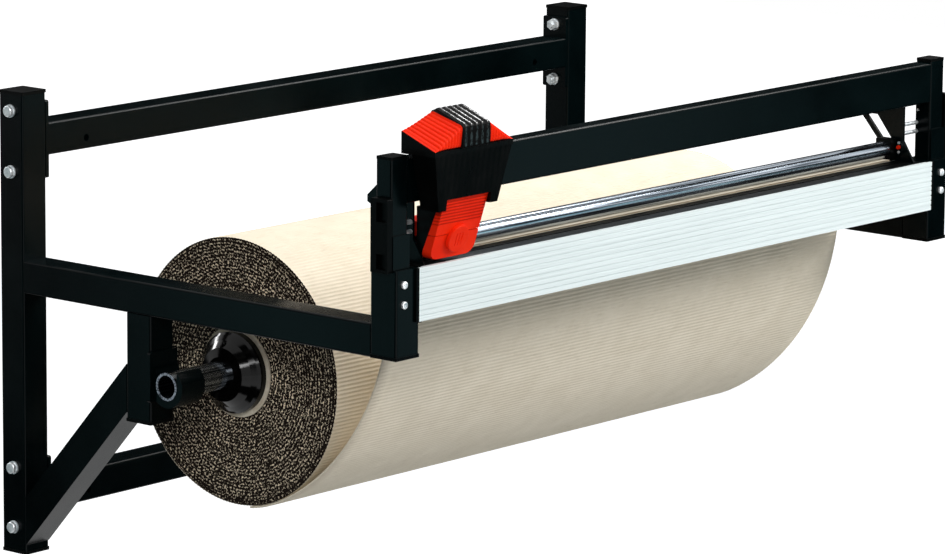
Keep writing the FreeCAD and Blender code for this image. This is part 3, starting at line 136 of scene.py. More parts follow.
scene.view_settings.view_transform = "Standard"
world = bpy.data.worlds.new("studio")
world.use_nodes = True
scene.world = world
tree = world.node_tree
tree.nodes.clear()
seen = tree.nodes.new("ShaderNodeBackground")
seen.inputs["Color"].default_value = (1, 1, 1, 1)
around = tree.nodes.new("ShaderNodeBackground")
around.inputs["Color"].default_value = SURROUND_COLOUR
around.inputs["Strength"].default_value = SURROUND_STRENGTH
chosen = tree.nodes.new("ShaderNodeMixShader")
out = tree.nodes.new("ShaderNodeOutputWorld")
link(tree, looked_at(tree), chosen.inputs[0])
link(tree, around.outputs[0], chosen.inputs[1])
link(tree, seen.outputs[0], chosen.inputs[2])
link(tree, chosen.outputs[0], out.inputs[0])
print("world", world.name, "with a light of", SURROUND_STRENGTH)

# %% [markdown]
# The floor lies well below the object, which hangs on a wall. It is a grey plane that glows for the
# rays that look at it, so it looks white and still shows the object's shadow. The glow grows with
# the distance from the middle, because the lamps are weak out there.

# %% Floor
FLOOR_Z, FLOOR_HALF = -1.15, 9.0
FLOOR_GREY = (0.45, 0.46, 0.47, 1)
GLOW, GLOW_PER_METRE = 0.80, 0.04

floor_mesh = bpy.data.meshes.new("floor")
floor_corners = [(x * FLOOR_HALF, y * FLOOR_HALF, FLOOR_Z) for x, y in ((-1, -1), (1, -1), (1, 1), (-1, 1))]
floor_mesh.from_pydata(floor_corners, [], [(0, 1, 2, 3)])
floor = bpy.data.objects.new("floor", floor_mesh)
scene.collection.objects.link(floor)
pale = bpy.data.materials.new("pale_floor")
pale.use_nodes = True
tree = pale.node_tree
tree.nodes.clear()
diffuse = tree.nodes.new("ShaderNodeBsdfDiffuse")
diffuse.inputs["Color"].default_value = FLOOR_GREY
glow = tree.nodes.new("ShaderNodeEmission")
both = tree.nodes.new("ShaderNodeAddShader")
out = tree.nodes.new("ShaderNodeOutputMaterial")
distance = tree.nodes.new("ShaderNodeVectorMath")
distance.operation = "LENGTH"
link(tree, tree.nodes.new("ShaderNodeTexCoord").outputs["Object"], distance.inputs[0])
strength = maths(tree, "MULTIPLY_ADD", distance.outputs["Value"], GLOW_PER_METRE, GLOW)
link(tree, maths(tree, "MULTIPLY", looked_at(tree), strength), glow.inputs["Strength"])
link(tree, diffuse.outputs[0], both.inputs[0])
link(tree, glow.outputs[0], both.inputs[1])
link(tree, both.outputs[0], out.inputs[0])
floor_mesh.materials.append(pale)
print("floor at", FLOOR_Z)

# %% [markdown]
# ## Lamps
#
# The light in the photograph is soft, comes from above and from the right, and hardly reaches the
# left ends, which stay dark. A few large rectangles give that. The small weak lamps at the end of
# the list put the blue-green sheen on the black tubes.

# %% Soft lamps
MIDDLE = (0.0, -0.35, 0.0)


def soft_lamp(name, place, aim, width, height, watts, colour=(1, 1, 1)):
    """A rectangular lamp that looks from a place at an aim."""
    data = bpy.data.lights.new(name, "AREA")
    data.shape = "RECTANGLE"
    data.size, data.size_y = width, height
    data.energy = watts
    data.color = colour
    lamp = bpy.data.objects.new(name, data)
    lamp.location = place
    lamp.rotation_mode = "QUATERNION"
    lamp.rotation_quaternion = (Vector(aim) - Vector(place)).to_track_quat("-Z", "Y")
    scene.collection.objects.link(lamp)


soft_lamp("key_lamp", (2.5, -1.5, 2.5), MIDDLE, 1.3, 0.9, 64, (1.0, 0.98, 0.95))
soft_lamp("top_lamp", (0.0, -0.6, 3.0), MIDDLE, 2.6, 1.8, 40)
soft_lamp("front_lamp", (1.6, -3.6, 2.1), (0.1, -0.5, -0.05), 2.4, 1.6, 130)
soft_lamp("left_lamp", (-3.0, -2.2, 1.5), (-0.4, -0.3, -0.04), 0.7, 0.9, 40)
soft_lamp("wall_lamp", (-0.3, 2.5, 1.1), (-0.45, -0.28, -0.04), 0.6, 0.4, 14)
soft_lamp("ridge_lamp", (2.4, 0.6, 2.4), (-0.44, -0.65, 0.32), 0.45, 0.45, 10)
soft_lamp("sheen_lamp", (1.86, -2.56, -0.25), (-0.4, -0.6, 0.1), 0.9, 1.0, 2.4, (0.62, 0.94, 1.0))
soft_lamp("arm_lamp", (-2.25, 1.05, -0.3), (-0.54, -0.45, 0.06), 0.5, 0.7, 1.0, (0.5, 0.95, 1.0))

# %% [markdown]
# Black paint shows what it mirrors. In a studio, dark cloths called flags stand round an object so
# that its black faces mirror nothing bright. These stand and lie at the left and the right. They are
# only seen in reflections and throw no shadow, and the gap above them leaves the light edges.

# %% Dark flags that only reflections see
CLOTH_OVER_FLOOR = 0.01

flag_cloth = bpy.data.materials.new("flag_cloth")
flag_cloth.use_nodes = True
cloth_shader = flag_cloth.node_tree.nodes["Principled BSDF"]
cloth_shader.inputs["Base Color"].default_value = (0.004, 0.004, 0.004, 1)
cloth_shader.inputs["Specular IOR Level"].default_value = 0.0


def flag(name, corners):
    """A cloth with four corners."""
    mesh = bpy.data.meshes.new(name)
    mesh.from_pydata(corners, [], [(0, 1, 2, 3)])
    cloth = bpy.data.objects.new(name, mesh)
    mesh.materials.append(flag_cloth)
    scene.collection.objects.link(cloth)
    for seen_by in ("visible_camera", "visible_diffuse", "visible_transmission", "visible_shadow"):
        setattr(cloth, seen_by, False)
    print(name, "set")


def upright(start, end, high):
    """The corners of a cloth that hangs over a line on the floor plan, from a height to the floor."""
    return [(*start, FLOOR_Z), (*end, FLOOR_Z), (*end, high), (*start, high)]


def lying(x0, x1, y0, y1):
    """The corners of a cloth just above the floor."""
    return [(x, y, FLOOR_Z + CLOTH_OVER_FLOOR) for x, y in ((x0, y0), (x1, y0), (x1, y1), (x0, y1))]


flag("flag_right_back", upright((5.2, -0.6), (0.6, 4.8), 2.2))
flag("flag_right_front", upright((5.6, -0.8), (1.2, -5.4), 0.75))
flag("flag_left", upright((-4.6, 4.4), (-4.6, -3.2), 1.9))
flag("flag_right_floor", lying(0.8, 5.6, -5.2, 4.6))
flag("flag_left_floor", lying(-4.6, -1.0, -1.5, 4.4))

# %% [markdown]
# ## Effects that several finishes share
#
# Powder coat, moulded plastic, steel and paper all vary a little over their surface: a fine grain,
# and slow changes over some centimetres. Each could be noise nodes repeated in every material. One
# node group for each effect is easier to read, and it keeps the grain alike wherever it is used.

# %% Node groups for grain, slow change and drawn streaks
FLOAT, VECTOR = "NodeSocketFloat", "NodeSocketVector"


def new_group(name, ins, outs):
    """An empty shader group: ins are (name, kind, default), outs are (name, kind)."""
    group = bpy.data.node_groups.new(name, "ShaderNodeTree")
    for title, kind, value in ins:
        socket = group.interface.new_socket(title, in_out="INPUT", socket_type=kind)
        if kind == FLOAT:
            socket.default_value = value
    for title, kind in outs:
        group.interface.new_socket(title, in_out="OUTPUT", socket_type=kind)
    return group, group.nodes.new("NodeGroupInput"), group.nodes.new("NodeGroupOutput")


def noise(tree, vector, scale, detail, roughness=0.55):
    """A noise texture read at a vector; scale is a number or a socket. Returns its value."""
    node = tree.nodes.new("ShaderNodeTexNoise")
    node.inputs["Detail"].default_value = detail
    node.inputs["Roughness"].default_value = roughness
    link(tree, vector, node.inputs["Vector"])
    if isinstance(scale, bpy.types.NodeSocket):
        link(tree, scale, node.inputs["Scale"])
    else:
        node.inputs["Scale"].default_value = scale
    return node.outputs["Fac"]


def make_surface_grain():
    """Height: fine noise plus a little of a noise four times finer. Drift: slow noise from 0 to 1."""
    group, start, end = new_group(
        "surface_grain",
        [("Vector", VECTOR, None), ("Scale", FLOAT, 900.0), ("Drift Scale", FLOAT, 9.0)],
        [("Height", FLOAT), ("Drift", FLOAT)],
    )
    given = start.outputs
    fine = noise(group, given["Vector"], given["Scale"], 2.0)
    finer = noise(group, given["Vector"], maths(group, "MULTIPLY", given["Scale"], 4.0), 1.0)
    height = maths(group, "ADD", maths(group, "MULTIPLY", fine, 0.7), maths(group, "MULTIPLY", finer, 0.3))
    drift = noise(group, given["Vector"], given["Drift Scale"], 4.0, 0.6)
    link(group, height, end.inputs["Height"])
    link(group, drift, end.inputs["Drift"])
    return group


def make_drawn_streaks():
    """Streaks along X, as on drawn or ground metal: noise whose X is squeezed many times."""
    group, start, end = new_group(
        "drawn_streaks",
        [("Vector", VECTOR, None), ("Scale", FLOAT, 500.0), ("Stretch", FLOAT, 0.02)],
        [("Streak", FLOAT)],
    )
    parts = group.nodes.new("ShaderNodeSeparateXYZ")
    join = group.nodes.new("ShaderNodeCombineXYZ")
    link(group, start.outputs["Vector"], parts.inputs[0])
    link(group, maths(group, "MULTIPLY", parts.outputs[0], start.outputs["Stretch"]), join.inputs[0])
    link(group, parts.outputs[1], join.inputs[1])
    link(group, parts.outputs[2], join.inputs[2])
    streak = noise(group, join.outputs[0], start.outputs["Scale"], 2.0)
    link(group, streak, end.inputs["Streak"])
    return group


surface_grain = make_surface_grain()
drawn_streaks = make_drawn_streaks()
print("groups", [g.name for g in bpy.data.node_groups])

# %% [markdown]
# ## A finish in the making
#
# Each finish needs the same few things: its shader, its object coordinates, a colour ramp here, a
# bump there. A small class keeps them together, so a finish below reads as a list of what it has.
# Object coordinates are in metres and stay with the piece when it moves. Most of a noise's values
# lie between 0.3 and 0.7, so ramps and spreads run over that span unless they are told otherwise.

# %% The finish class
NOISE_SPAN = (0.3, 0.7)


class Finish:
    """A material in the making: its node tree, its Principled shader and its object coordinates.

    The colour and roughness given first are plain values. They hold where nothing else feeds the
    shader, and they stand in for a viewer that can't read the nodes.
    """

    def __init__(self, name, colour, roughness, metallic=0.0, **sockets):
        self.material = bpy.data.materials.new(name)
        self.material.use_nodes = True
        self.tree = self.material.node_tree
        self.shader = self.tree.nodes["Principled BSDF"]
        self.place = self.tree.nodes.new("ShaderNodeTexCoord").outputs["Object"]
        self.shader.inputs["Base Color"].default_value = (*colour, 1)
        self.shader.inputs["Roughness"].default_value = roughness
        self.shader.inputs["Metallic"].default_value = metallic
        for title, value in sockets.items():
            self.shader.inputs[title.replace("_", " ")].default_value = value

    def maths(self, kind, *values):
        """A Math node in this material; returns its output socket."""
        return maths(self.tree, kind, *values)

    def group(self, group, **values):
        """Place a shared group in this material, and return its output sockets by name."""
        node = self.tree.nodes.new("ShaderNodeGroup")
        node.node_tree = group
        link(self.tree, self.place, node.inputs["Vector"])
        for title, value in values.items():
            node.inputs[title.replace("_", " ")].default_value = value
        return node.outputs

    def ramp(self, value, *colours, at=NOISE_SPAN):
        """A colour ramp over a value: its colours in order, and their places on the ramp."""
        node = self.tree.nodes.new("ShaderNodeValToRGB")
        link(self.tree, value, node.inputs[0])
        band = node.color_ramp
        while len(band.elements) < len(colours):
            band.elements.new(0.5)
        for element, place, colour in zip(band.elements, at, colours):
            element.position = place
            element.color = (*colour, 1)
        return node.outputs["Color"]

    def spread(self, value, low, high, from_low=NOISE_SPAN[0], from_high=NOISE_SPAN[1]):
        """Map a value from one span to another."""
        node = self.tree.nodes.new("ShaderNodeMapRange")
        link(self.tree, value, node.inputs["Value"])
        spans = {"From Min": from_low, "From Max": from_high, "To Min": low, "To Max": high}
        for title, number in spans.items():
            node.inputs[title].default_value = number
        return node.outputs[0]

    def lines(self, value, first, pitch, wide):
        """One on lines of a width that repeat at a pitch from a first place, else zero."""
        turns = self.maths("DIVIDE", self.maths("SUBTRACT", value, first - pitch / 2), pitch)
        off = self.maths("ABSOLUTE", self.maths("SUBTRACT", self.maths("FRACT", turns), 0.5))
        return self.maths("LESS_THAN", off, wide / pitch / 2)

    def shade(self, colour, mask, share, shadow):
        """A colour that goes a share of the way to a shadow colour where a mask is one."""
        node = self.tree.nodes.new("ShaderNodeMix")
        node.data_type = "RGBA"
        link(self.tree, self.maths("MULTIPLY", mask, share), node.inputs["Factor"])
        link(self.tree, colour, node.inputs["A"])
        node.inputs["B"].default_value = (*shadow, 1)
        return node.outputs["Result"]

    def into(self, socket, value):
        """Feed one of the shader's inputs."""
        link(self.tree, value, self.shader.inputs[socket])

    def bump(self, height, depth, strength):
        """Bump from a height; depth is how many metres a height of 1 stands for."""
        node = self.tree.nodes.new("ShaderNodeBump")
        node.inputs["Strength"].default_value = strength
        node.inputs["Distance"].default_value = depth
        link(self.tree, height, node.inputs["Height"])
        self.into("Normal", node.outputs[0])

    def parts(self, vector=None):
        """The X, Y and Z of a vector as three sockets."""
        node = self.tree.nodes.new("ShaderNodeSeparateXYZ")
        link(self.tree, vector or self.place, node.inputs[0])
        return node.outputs


def dress(finish, *names):
    """Give CAD nodes a finish."""
    for name in names:
        for place in nodes[name].material_slots:
            place.material = finish.material
    print(finish.material.name, "on", len(names), "nodes")


print("finish class ready, shared groups", surface_grain.name, drawn_streaks.name)

# %% [markdown]
# ## Black powder coat
#
# The tubes are steel with a baked powder coat: nearly black with a green-blue tinge where light
# skims it, a fine orange-peel texture, and a satin gloss. A plain black would look like a hole, so
# both the colour and the roughness drift a little.

# %% Powder coat on the tubes and plates
powder = Finish("powder_coat", (0.0006, 0.0022, 0.0026), 0.22, Specular_IOR_Level=0.09)
grain = powder.group(surface_grain, Scale=700.0, Drift_Scale=7.0)
powder.into("Base Color", powder.ramp(grain["Drift"], (0.0002, 0.0012, 0.0014), (0.0006, 0.003, 0.0034)))
powder.into("Roughness", powder.spread(grain["Drift"], 0.17, 0.27))
powder.bump(grain["Height"], 0.00008, 0.35)
dress(
    powder, "wall_post_left", "wall_post_right", "upper_back_beam", "lower_back_beam", "beam_end_plates",
    "side_arm_left", "side_arm_right", "front_post_left", "front_post_right", "roll_hanger_left",
    "roll_hanger_right", "hanger_strut_left", "hanger_strut_right", "axle_cradle_left",
    "axle_cradle_right", "wall_fixing_sleeves", "table_bed", "table_cleats", "bridge_leg_left",
    "bridge_leg_right", "bridge_beam", "leg_front_plates", "rod_bracket_left", "rod_bracket_right",
    "rod_braces",
)

# %% [markdown]
# ## Black plastic
#
# Tube caps, leg covers and the nose of the cutter head are moulded plastic with a fine matt
# texture. The cones on the axle are smooth and glossy, and show round glints of the lamps.

# %% Matt and glossy black plastic
matt_black = Finish("moulded_black", (0.0006, 0.0009, 0.0009), 0.34, Specular_IOR_Level=0.07)
grain = matt_black.group(surface_grain, Scale=1400.0, Drift_Scale=14.0)
matt_black.into("Roughness", matt_black.spread(grain["Drift"], 0.28, 0.42))
matt_black.bump(grain["Height"], 0.00008, 0.6)
dress(
    matt_black, "tube_end_caps", "profile_end_caps", "cutting_strips", "bridge_leg_caps",
    "leg_side_covers", "rod_end_blocks", "nose_body",
)

gloss_black = Finish("gloss_black", (0.001, 0.001, 0.001), 0.12, Specular_IOR_Level=0.2)
grain = gloss_black.group(surface_grain, Scale=260.0, Drift_Scale=18.0)
gloss_black.into("Roughness", gloss_black.spread(grain["Drift"], 0.08, 0.16))
gloss_black.bump(grain["Height"], 0.00006, 0.25)
dress(gloss_black, "core_cone_left", "core_cone_right")

# %% [markdown]
# The head's body is fluted for grip: shallow waves that run up and down its front and back. They
# are too shallow to change its outline, so a sine across the head in the bump is enough.

# %% Fluted black for the head's body
BODY_FLUTE, BODY_FLUTE_HIGH = 0.0095, 2.5

fluted = Finish("fluted_black", (0.0006, 0.0009, 0.0009), 0.34, Specular_IOR_Level=0.08)
grain = fluted.group(surface_grain, Scale=900.0, Drift_Scale=30.0)
fluted.into("Roughness", fluted.spread(grain["Drift"], 0.26, 0.44))
waves = fluted.maths("SINE", fluted.maths("MULTIPLY", fluted.parts()[0], 2 * math.pi / BODY_FLUTE))
waves = fluted.maths("MULTIPLY", waves, BODY_FLUTE_HIGH)
fluted.bump(fluted.maths("ADD", waves, grain["Height"]), 0.0001, 0.7)
dress(fluted, "head_body")

# %% [markdown]
# ## Chrome
#
# The axle and the rod are chromed, so they are mostly mirror, with drawn lines along them. Their
# colour runs from near black to a pale blue along those lines: partly the drawn lines, and partly
# painted reflections of dark and pale surroundings. The axle's sawn ends are not polished: there the
# roughness goes up, and they catch the light from everywhere.

# %% Chrome on the axle and the rod
SAWN_END_X, SAWN_ROUGHER = 0.5395, 0.6

chrome = Finish("chrome", (0.72, 0.77, 0.83), 0.16, 1.0)
streak = chrome.group(drawn_streaks, Scale=420.0, Stretch=0.01)["Streak"]
# The dark and the pale blue ends of this ramp are partly drawn lines and partly painted reflection.
dark, middle, bright = (0.08, 0.10, 0.12), (0.36, 0.41, 0.47), (0.60, 0.66, 0.73)
chrome.into("Base Color", chrome.ramp(streak, dark, middle, bright, at=(0.38, 0.50, 0.7)))
sawn = chrome.maths("GREATER_THAN", chrome.maths("ABSOLUTE", chrome.parts()[0]), SAWN_END_X)
polish = chrome.spread(streak, 0.10, 0.26)
chrome.into("Roughness", chrome.maths("MULTIPLY_ADD", sawn, SAWN_ROUGHER, polish))
chrome.bump(streak, 0.00003, 0.3)
dress(chrome, "axle_tube", "guide_rod")

# %% [markdown]
# ## Zinc plate
#
# Bolts, washers and pins are zinc plated. The plating is paler and duller than chrome, and it is
# patchy over a few millimetres, which is about the size of a bolt's head.

# %% Zinc plate on the small steel parts
zinc = Finish("zinc_plate", (0.85, 0.87, 0.90), 0.45, 0.85)
grain = zinc.group(surface_grain, Scale=500.0, Drift_Scale=160.0)
tone = zinc.ramp(grain["Drift"], (0.62, 0.66, 0.68), (0.97, 0.99, 1.0), at=(0.35, 0.65))
zinc.into("Base Color", tone)
zinc.into("Roughness", zinc.spread(grain["Drift"], 0.36, 0.56))
zinc.bump(grain["Height"], 0.00005, 0.5)
dress(
    zinc, "frame_bolts", "frame_washers", "frame_nuts", "table_screws", "bridge_guide_screws",
    "cone_set_screws", "bracket_pins", "blade_holder", "cutter_blade",
)

# %% [markdown]
# ## Anodised aluminium
#
# The table's profile is anodised aluminium: pale, with drawn lines along it, and nine grooves
# in its face. The grooves are in the CAD model, and their shade is painted as well: a darker
# colour on lines at their heights, behind the face.

# %% Anodised aluminium on the table's profile
GROOVE_Z, GROOVE_PITCH, GROOVE_WIDTH = 0.084, 0.0063, 0.0017
GROOVE_FLOOR_Y = -0.6478

anodised = Finish("anodised_aluminium", (0.75, 0.82, 0.82), 0.38, Specular_IOR_Level=0.3)
streak = anodised.group(drawn_streaks, Scale=900.0, Stretch=0.006)["Streak"]
tone = anodised.ramp(streak, (0.66, 0.73, 0.73), (0.78, 0.85, 0.85))
_, depth, height = anodised.parts()
groove = anodised.lines(height, GROOVE_Z, GROOVE_PITCH, GROOVE_WIDTH)
groove = anodised.maths("MULTIPLY", groove, anodised.maths("GREATER_THAN", depth, GROOVE_FLOOR_Y))
# The grooves' colour goes 12 percent of the way to a dark grey: painted shade in the grooves.
anodised.into("Base Color", anodised.shade(tone, groove, 0.12, (0.20, 0.24, 0.24)))
anodised.into("Roughness", anodised.spread(streak, 0.32, 0.46))
anodised.bump(streak, 0.00005, 0.4)
dress(anodised, "table_profile")

# %% [markdown]
# The floor of the blade's slot is a pale plastic strip, smooth and without a pattern, so the grain
# alone is enough.

# %% Pale strip in the slot
pale_strip = Finish("pale_strip", (0.72, 0.75, 0.74), 0.35)
grain = pale_strip.group(surface_grain, Scale=600.0, Drift_Scale=40.0)
pale_strip.into("Roughness", pale_strip.spread(grain["Drift"], 0.28, 0.42))
pale_strip.bump(grain["Height"], 0.00005, 0.4)
dress(pale_strip, "slot_floor_strip")

# %% [markdown]
# ## Red plastic
#
# The pads, covers, knob and shoe are a warm signal red, moulded with a satin surface. The colour is
# slightly deeper in slow patches, as coloured plastic is where the melt cooled more slowly. The
# grooves between the ribs of the upper cover are darker, because light hardly reaches them.

# %% Red plastic
RIB_GROOVE_Z, RIB_PITCH, RIB_GROOVE = 0.1951, 0.0038, 0.0019
RIBS_FROM_Z, RIBS_TO_Z = 0.1932, 0.2236


def red_plastic(name):
    """The moulded red, and its colour output so that a variant can shade it."""
    finish = Finish(name, (0.80, 0.022, 0.003), 0.42, Specular_IOR_Level=0.07)
    grain = finish.group(surface_grain, Scale=1300.0, Drift_Scale=22.0)
    tone = finish.ramp(grain["Drift"], (0.80, 0.016, 0.002), (0.92, 0.028, 0.004))
    finish.into("Base Color", tone)
    finish.into("Roughness", finish.spread(grain["Drift"], 0.38, 0.48))
    finish.bump(grain["Height"], 0.00006, 0.5)
    return finish, tone


red, _ = red_plastic("signal_red")
dress(red, "end_studs", "lower_front_cover", "guide_shoe", "lock_knob")

ribbed_red, tone = red_plastic("signal_red_ribbed")
height = ribbed_red.parts()[2]
above = ribbed_red.maths("GREATER_THAN", height, RIBS_FROM_Z)
below = ribbed_red.maths("LESS_THAN", height, RIBS_TO_Z)
groove = ribbed_red.lines(height, RIB_GROOVE_Z, RIB_PITCH, RIB_GROOVE)
groove = ribbed_red.maths("MULTIPLY", groove, ribbed_red.maths("MULTIPLY", above, below))
ribbed_red.into("Base Color", ribbed_red.shade(tone, groove, 0.42, (0.10, 0.002, 0.0005)))
dress(ribbed_red, "upper_front_cover")

# %% [markdown]
# ## Paper
#
# Corrugated wrapping paper has a flat liner with a waved sheet glued to it. The waves run along the
# roll's axis. On the surface they show as close rows, and on the roll's end as thousands of small
# dark mouths between pale lines. The rows could be a bump only, but their teeth show along the
# sheet's free edge, so the surfaces are real waves worked out with numpy.
#
# The sizes repeat those of the CAD model, in millimetres. Y is the distance in front of the wall,
# and Z is the height above the posts' feet, which lie a datum below the row's origin. The sheet's
# angles go round the axle, from the wall's side over the top to the front and below.

# %% Sizes of the roll and the sheet
MM = 0.001
DATUM = 286.0
ROLL_LEFT, ROLL_RIGHT = -418.0, 466.0
AXLE_Y, AXLE_Z = 280.06, 246.0
ROLL_R, CORE_R = 165.0, 56.0
WEB_R = 165.4
WEB_START, WEB_LEAVE = 262.0, 244.5
DROP_Y, FRONT_Y = 526.0, 607.0
TABLE_Z, BED_CURVE = 433.0, 47.0
SHEET = 2.5
FLUTE = 5.0


def to_row(x, y, z):
    """Millimetres with Y in front of the wall and Z above the posts' feet, to metres in the row."""
    x, y, z = np.broadcast_arrays(x, y, z)
    return np.stack((x * MM, -y * MM, (z - DATUM) * MM), axis=-1)


print("roll", ROLL_RIGHT - ROLL_LEFT, "mm wide,", 2 * ROLL_R, "mm across")

# %% [markdown]
# A surface that is worked out comes as a grid of points, and a mesh needs faces between them. They
# could be listed one by one, but whole arrays are far quicker. Each finished piece then rides on a
# body of the model, so that it moves with it.

# %% Meshes from grids, and pieces that ride


def grid_mesh(name, points, closed_u=False, closed_v=False, uv=None, capped=False, flip=False):
    """A mesh from a grid of points (rows along u, columns along v); uv has the same rows and columns.

    The faces join each point to the next along u and v, and round again where a way is closed. Caps
    are one flat face over the first row and one over the last. Flip turns every face over.
    """
    rows, columns = points.shape[:2]
    index = np.arange(rows * columns).reshape(rows, columns)
    a = index if closed_u else index[:-1]
    b = np.roll(index, -1, axis=0) if closed_u else index[1:]
    if not closed_v:
        quads = np.stack((a[:, :-1], b[:, :-1], b[:, 1:], a[:, 1:]), axis=-1)
    else:
        quads = np.stack((a, b, np.roll(b, -1, axis=1), np.roll(a, -1, axis=1)), axis=-1)
    quads = quads.reshape(-1, 4)
    mesh = bpy.data.meshes.new(name)
    mesh.vertices.add(rows * columns)
    mesh.vertices.foreach_set("co", points.reshape(-1).astype(np.float32))
    corners, starts = quads.reshape(-1), np.arange(0, quads.size, 4)
    if capped:
        corners = np.concatenate((corners, index[0], index[-1, ::-1]))
        starts = np.concatenate((starts, [quads.size, quads.size + columns]))
    mesh.loops.add(corners.size)
    mesh.loops.foreach_set("vertex_index", corners.astype(np.int32))
    mesh.polygons.add(len(starts))
    mesh.polygons.foreach_set("loop_start", starts.astype(np.int32))
    if uv is not None:
        layer = mesh.uv_layers.new(name="pattern")
        layer.data.foreach_set("uv", uv.reshape(-1, 2)[corners].reshape(-1).astype(np.float32))
    mesh.update(calc_edges=True)
    if flip:
        mesh.flip_normals()
    mesh.shade_smooth()
    return mesh


def add_piece(name, mesh, body, slot, material, *stands_for):
    """Put a mesh in the scene as a piece that rides on a body and stands for CAD nodes."""
    piece = bpy.data.objects.new(name, mesh)
    scene.collection.objects.link(piece)
    mesh.materials.append(material)
    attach(piece, body)
    if stands_for:
        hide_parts(*stands_for)
    print(f"{name}: {len(mesh.vertices)} points, {len(mesh.polygons)} faces")


print("mesh helpers ready")

# %% [markdown]
# The sheet is one strip carried along a path. The path hugs the roll, leaves it on a tangent, bends
# up to vertical, goes over the crest and lies on the table. Each stretch is a line or an arc, so a
# point on it follows from the length run so far.

# %% The sheet's path


def web_path(length):
    """Place and outward direction on the sheet's inner face after running a length from its hidden
    end, and the whole path's length.

    Angles are measured round each arc's centre. The five stretches are: round the roll, the free
    bend whose radius makes it end upright at the drop, the upright, the crest, and the flat end.
    """
    start, leave = np.radians(WEB_START), np.radians(WEB_LEAVE)
    crest_r = BED_CURVE + SHEET
    heading = leave - np.pi
    leave_y = AXLE_Y + WEB_R * np.cos(heading)
    bend_r = (DROP_Y - leave_y) / (1 - np.cos(heading))
    bend_y = DROP_Y - bend_r
    bend_z = AXLE_Z - WEB_R * np.sin(heading) + bend_r * np.sin(heading)
    crest_y, crest_z = DROP_Y + crest_r, TABLE_Z - BED_CURVE
    lengths = np.array([
        WEB_R * (start - leave), bend_r * heading, crest_z - bend_z, crest_r * np.pi / 2,
        FRONT_Y - crest_y])
    begins = np.concatenate(([0.0], np.cumsum(lengths)))
    s = np.asarray(length)
    hug = start - np.pi - s / WEB_R
    bend = heading - (s - begins[1]) / bend_r
    crest = (s - begins[3]) / crest_r
    which = [s < begins[1], s < begins[2], s < begins[3], s < begins[4]]
    y = np.select(which, [AXLE_Y + WEB_R * np.cos(hug), bend_y + bend_r * np.cos(bend), DROP_Y + 0 * s,
                          crest_y - crest_r * np.cos(crest)], crest_y + s - begins[4])
    z = np.select(which, [AXLE_Z - WEB_R * np.sin(hug), bend_z - bend_r * np.sin(bend),
                          bend_z + s - begins[2], crest_z + crest_r * np.sin(crest)], crest_z + crest_r)
    out_y = np.select(which, [np.cos(hug), np.cos(bend), 1 + 0 * s, np.cos(crest)], 0 * s)
    out_z = np.select(which, [-np.sin(hug), -np.sin(bend), 0 * s, -np.sin(crest)], -1 + 0 * s)
    return y, z, out_y, out_z, begins[-1]


WEB_LENGTH = float(web_path(0.0)[-1])
print("sheet length, mm", round(WEB_LENGTH, 1))

# %% [markdown]
# Real flutes are never quite straight or quite alike. A noise texture could move them, but a sum of
# a few long sine waves is smooth, quick and the same in every run, because its seed is fixed.

# %% Uneven waves
SINES = 12
SLOWEST, QUICKEST = 0.006, 0.05
FLUTE_WANDER, DEPTH_WANDER = 0.35, 0.12


def unevenness(a, b, seed):
    """A smooth wandering value from about -1 to 1 over a plane: a sum of a dozen sine waves whose
    directions, paces and starts come from a seeded generator. A pace is waves in three millimetres."""
    rng = np.random.default_rng(seed)
    total = 0
    for _ in range(SINES):
        angle = rng.uniform(0, 2 * np.pi)
        pace = rng.uniform(SLOWEST, QUICKEST)
        start = rng.uniform(0, 2 * np.pi)
        total = total + np.sin((a * np.cos(angle) + b * np.sin(angle)) * pace * 2 * np.pi / 3 + start)
    return total / 4


def flute_height(run, x, depth, seed):
    """Height of the waves: a raised cosine along the run with one crest each flute, whose place and
    depth wander a little."""
    place = run + FLUTE_WANDER * unevenness(x, run, seed)
    wave = 0.5 + 0.5 * np.cos(2 * np.pi * place / FLUTE)
    return depth * wave * (1 + DEPTH_WANDER * unevenness(run * 3, x * 2, seed + 1))


print("waves of", SINES, "sines")

# %% [markdown]
# The paper's colour is a warm grey cream. Its fibres make it blotchy, and short brownish dashes lie
# along the waves where the glue line shows through.

# %% Paper on its broad faces
paper = Finish("corrugated_paper", (0.80, 0.74, 0.62), 0.85, Specular_IOR_Level=0.2)
grain = paper.group(surface_grain, Scale=420.0, Drift_Scale=26.0)
streak = paper.group(drawn_streaks, Scale=260.0, Stretch=0.18)["Streak"]
tone = paper.ramp(grain["Drift"], (0.75, 0.665, 0.525), (0.82, 0.735, 0.595))
dash = paper.spread(streak, 0.0, 1.0, 0.60, 0.68)
paper.into("Base Color", paper.shade(tone, dash, 0.14, (0.42, 0.33, 0.22)))
paper.bump(grain["Height"], 0.0003, 0.5)
print("paper set")

# %% [markdown]
# The loose sheet is a closed ring of points carried across the roll's width: the waved outer face,
# and the flat inner face on the way back. Seven rows of points for each flute keep the waves round.

# %% The sheet over the table
ROWS_PER_FLUTE, SHEET_COLUMNS = 7, 46
LINER, SHEET_WAVE = SHEET - 0.6, 0.55

run = np.linspace(0.0, WEB_LENGTH, int(WEB_LENGTH / FLUTE * ROWS_PER_FLUTE))
y, z, out_y, out_z, _ = web_path(run)
x = np.linspace(ROLL_LEFT, ROLL_RIGHT, SHEET_COLUMNS)
face_run, face_x = np.meshgrid(run, x, indexing="ij")
thick = LINER + flute_height(face_run, face_x, SHEET_WAVE, 5)
inner = to_row(face_x, y[:, None], z[:, None])
outer = to_row(face_x, y[:, None] + out_y[:, None] * thick, z[:, None] + out_z[:, None] * thick)
web_mesh = grid_mesh("corrugated_sheet", np.concatenate((outer, inner[:, ::-1]), axis=1), closed_v=True)
add_piece("corrugated_sheet", web_mesh, "frame", "corrugated_paper", paper.material, "paper_web")

# %% [markdown]
# The roll's side is the same waved paper, wound into a cylinder. A whole number of flutes goes round
# it, so that the last one meets the first.

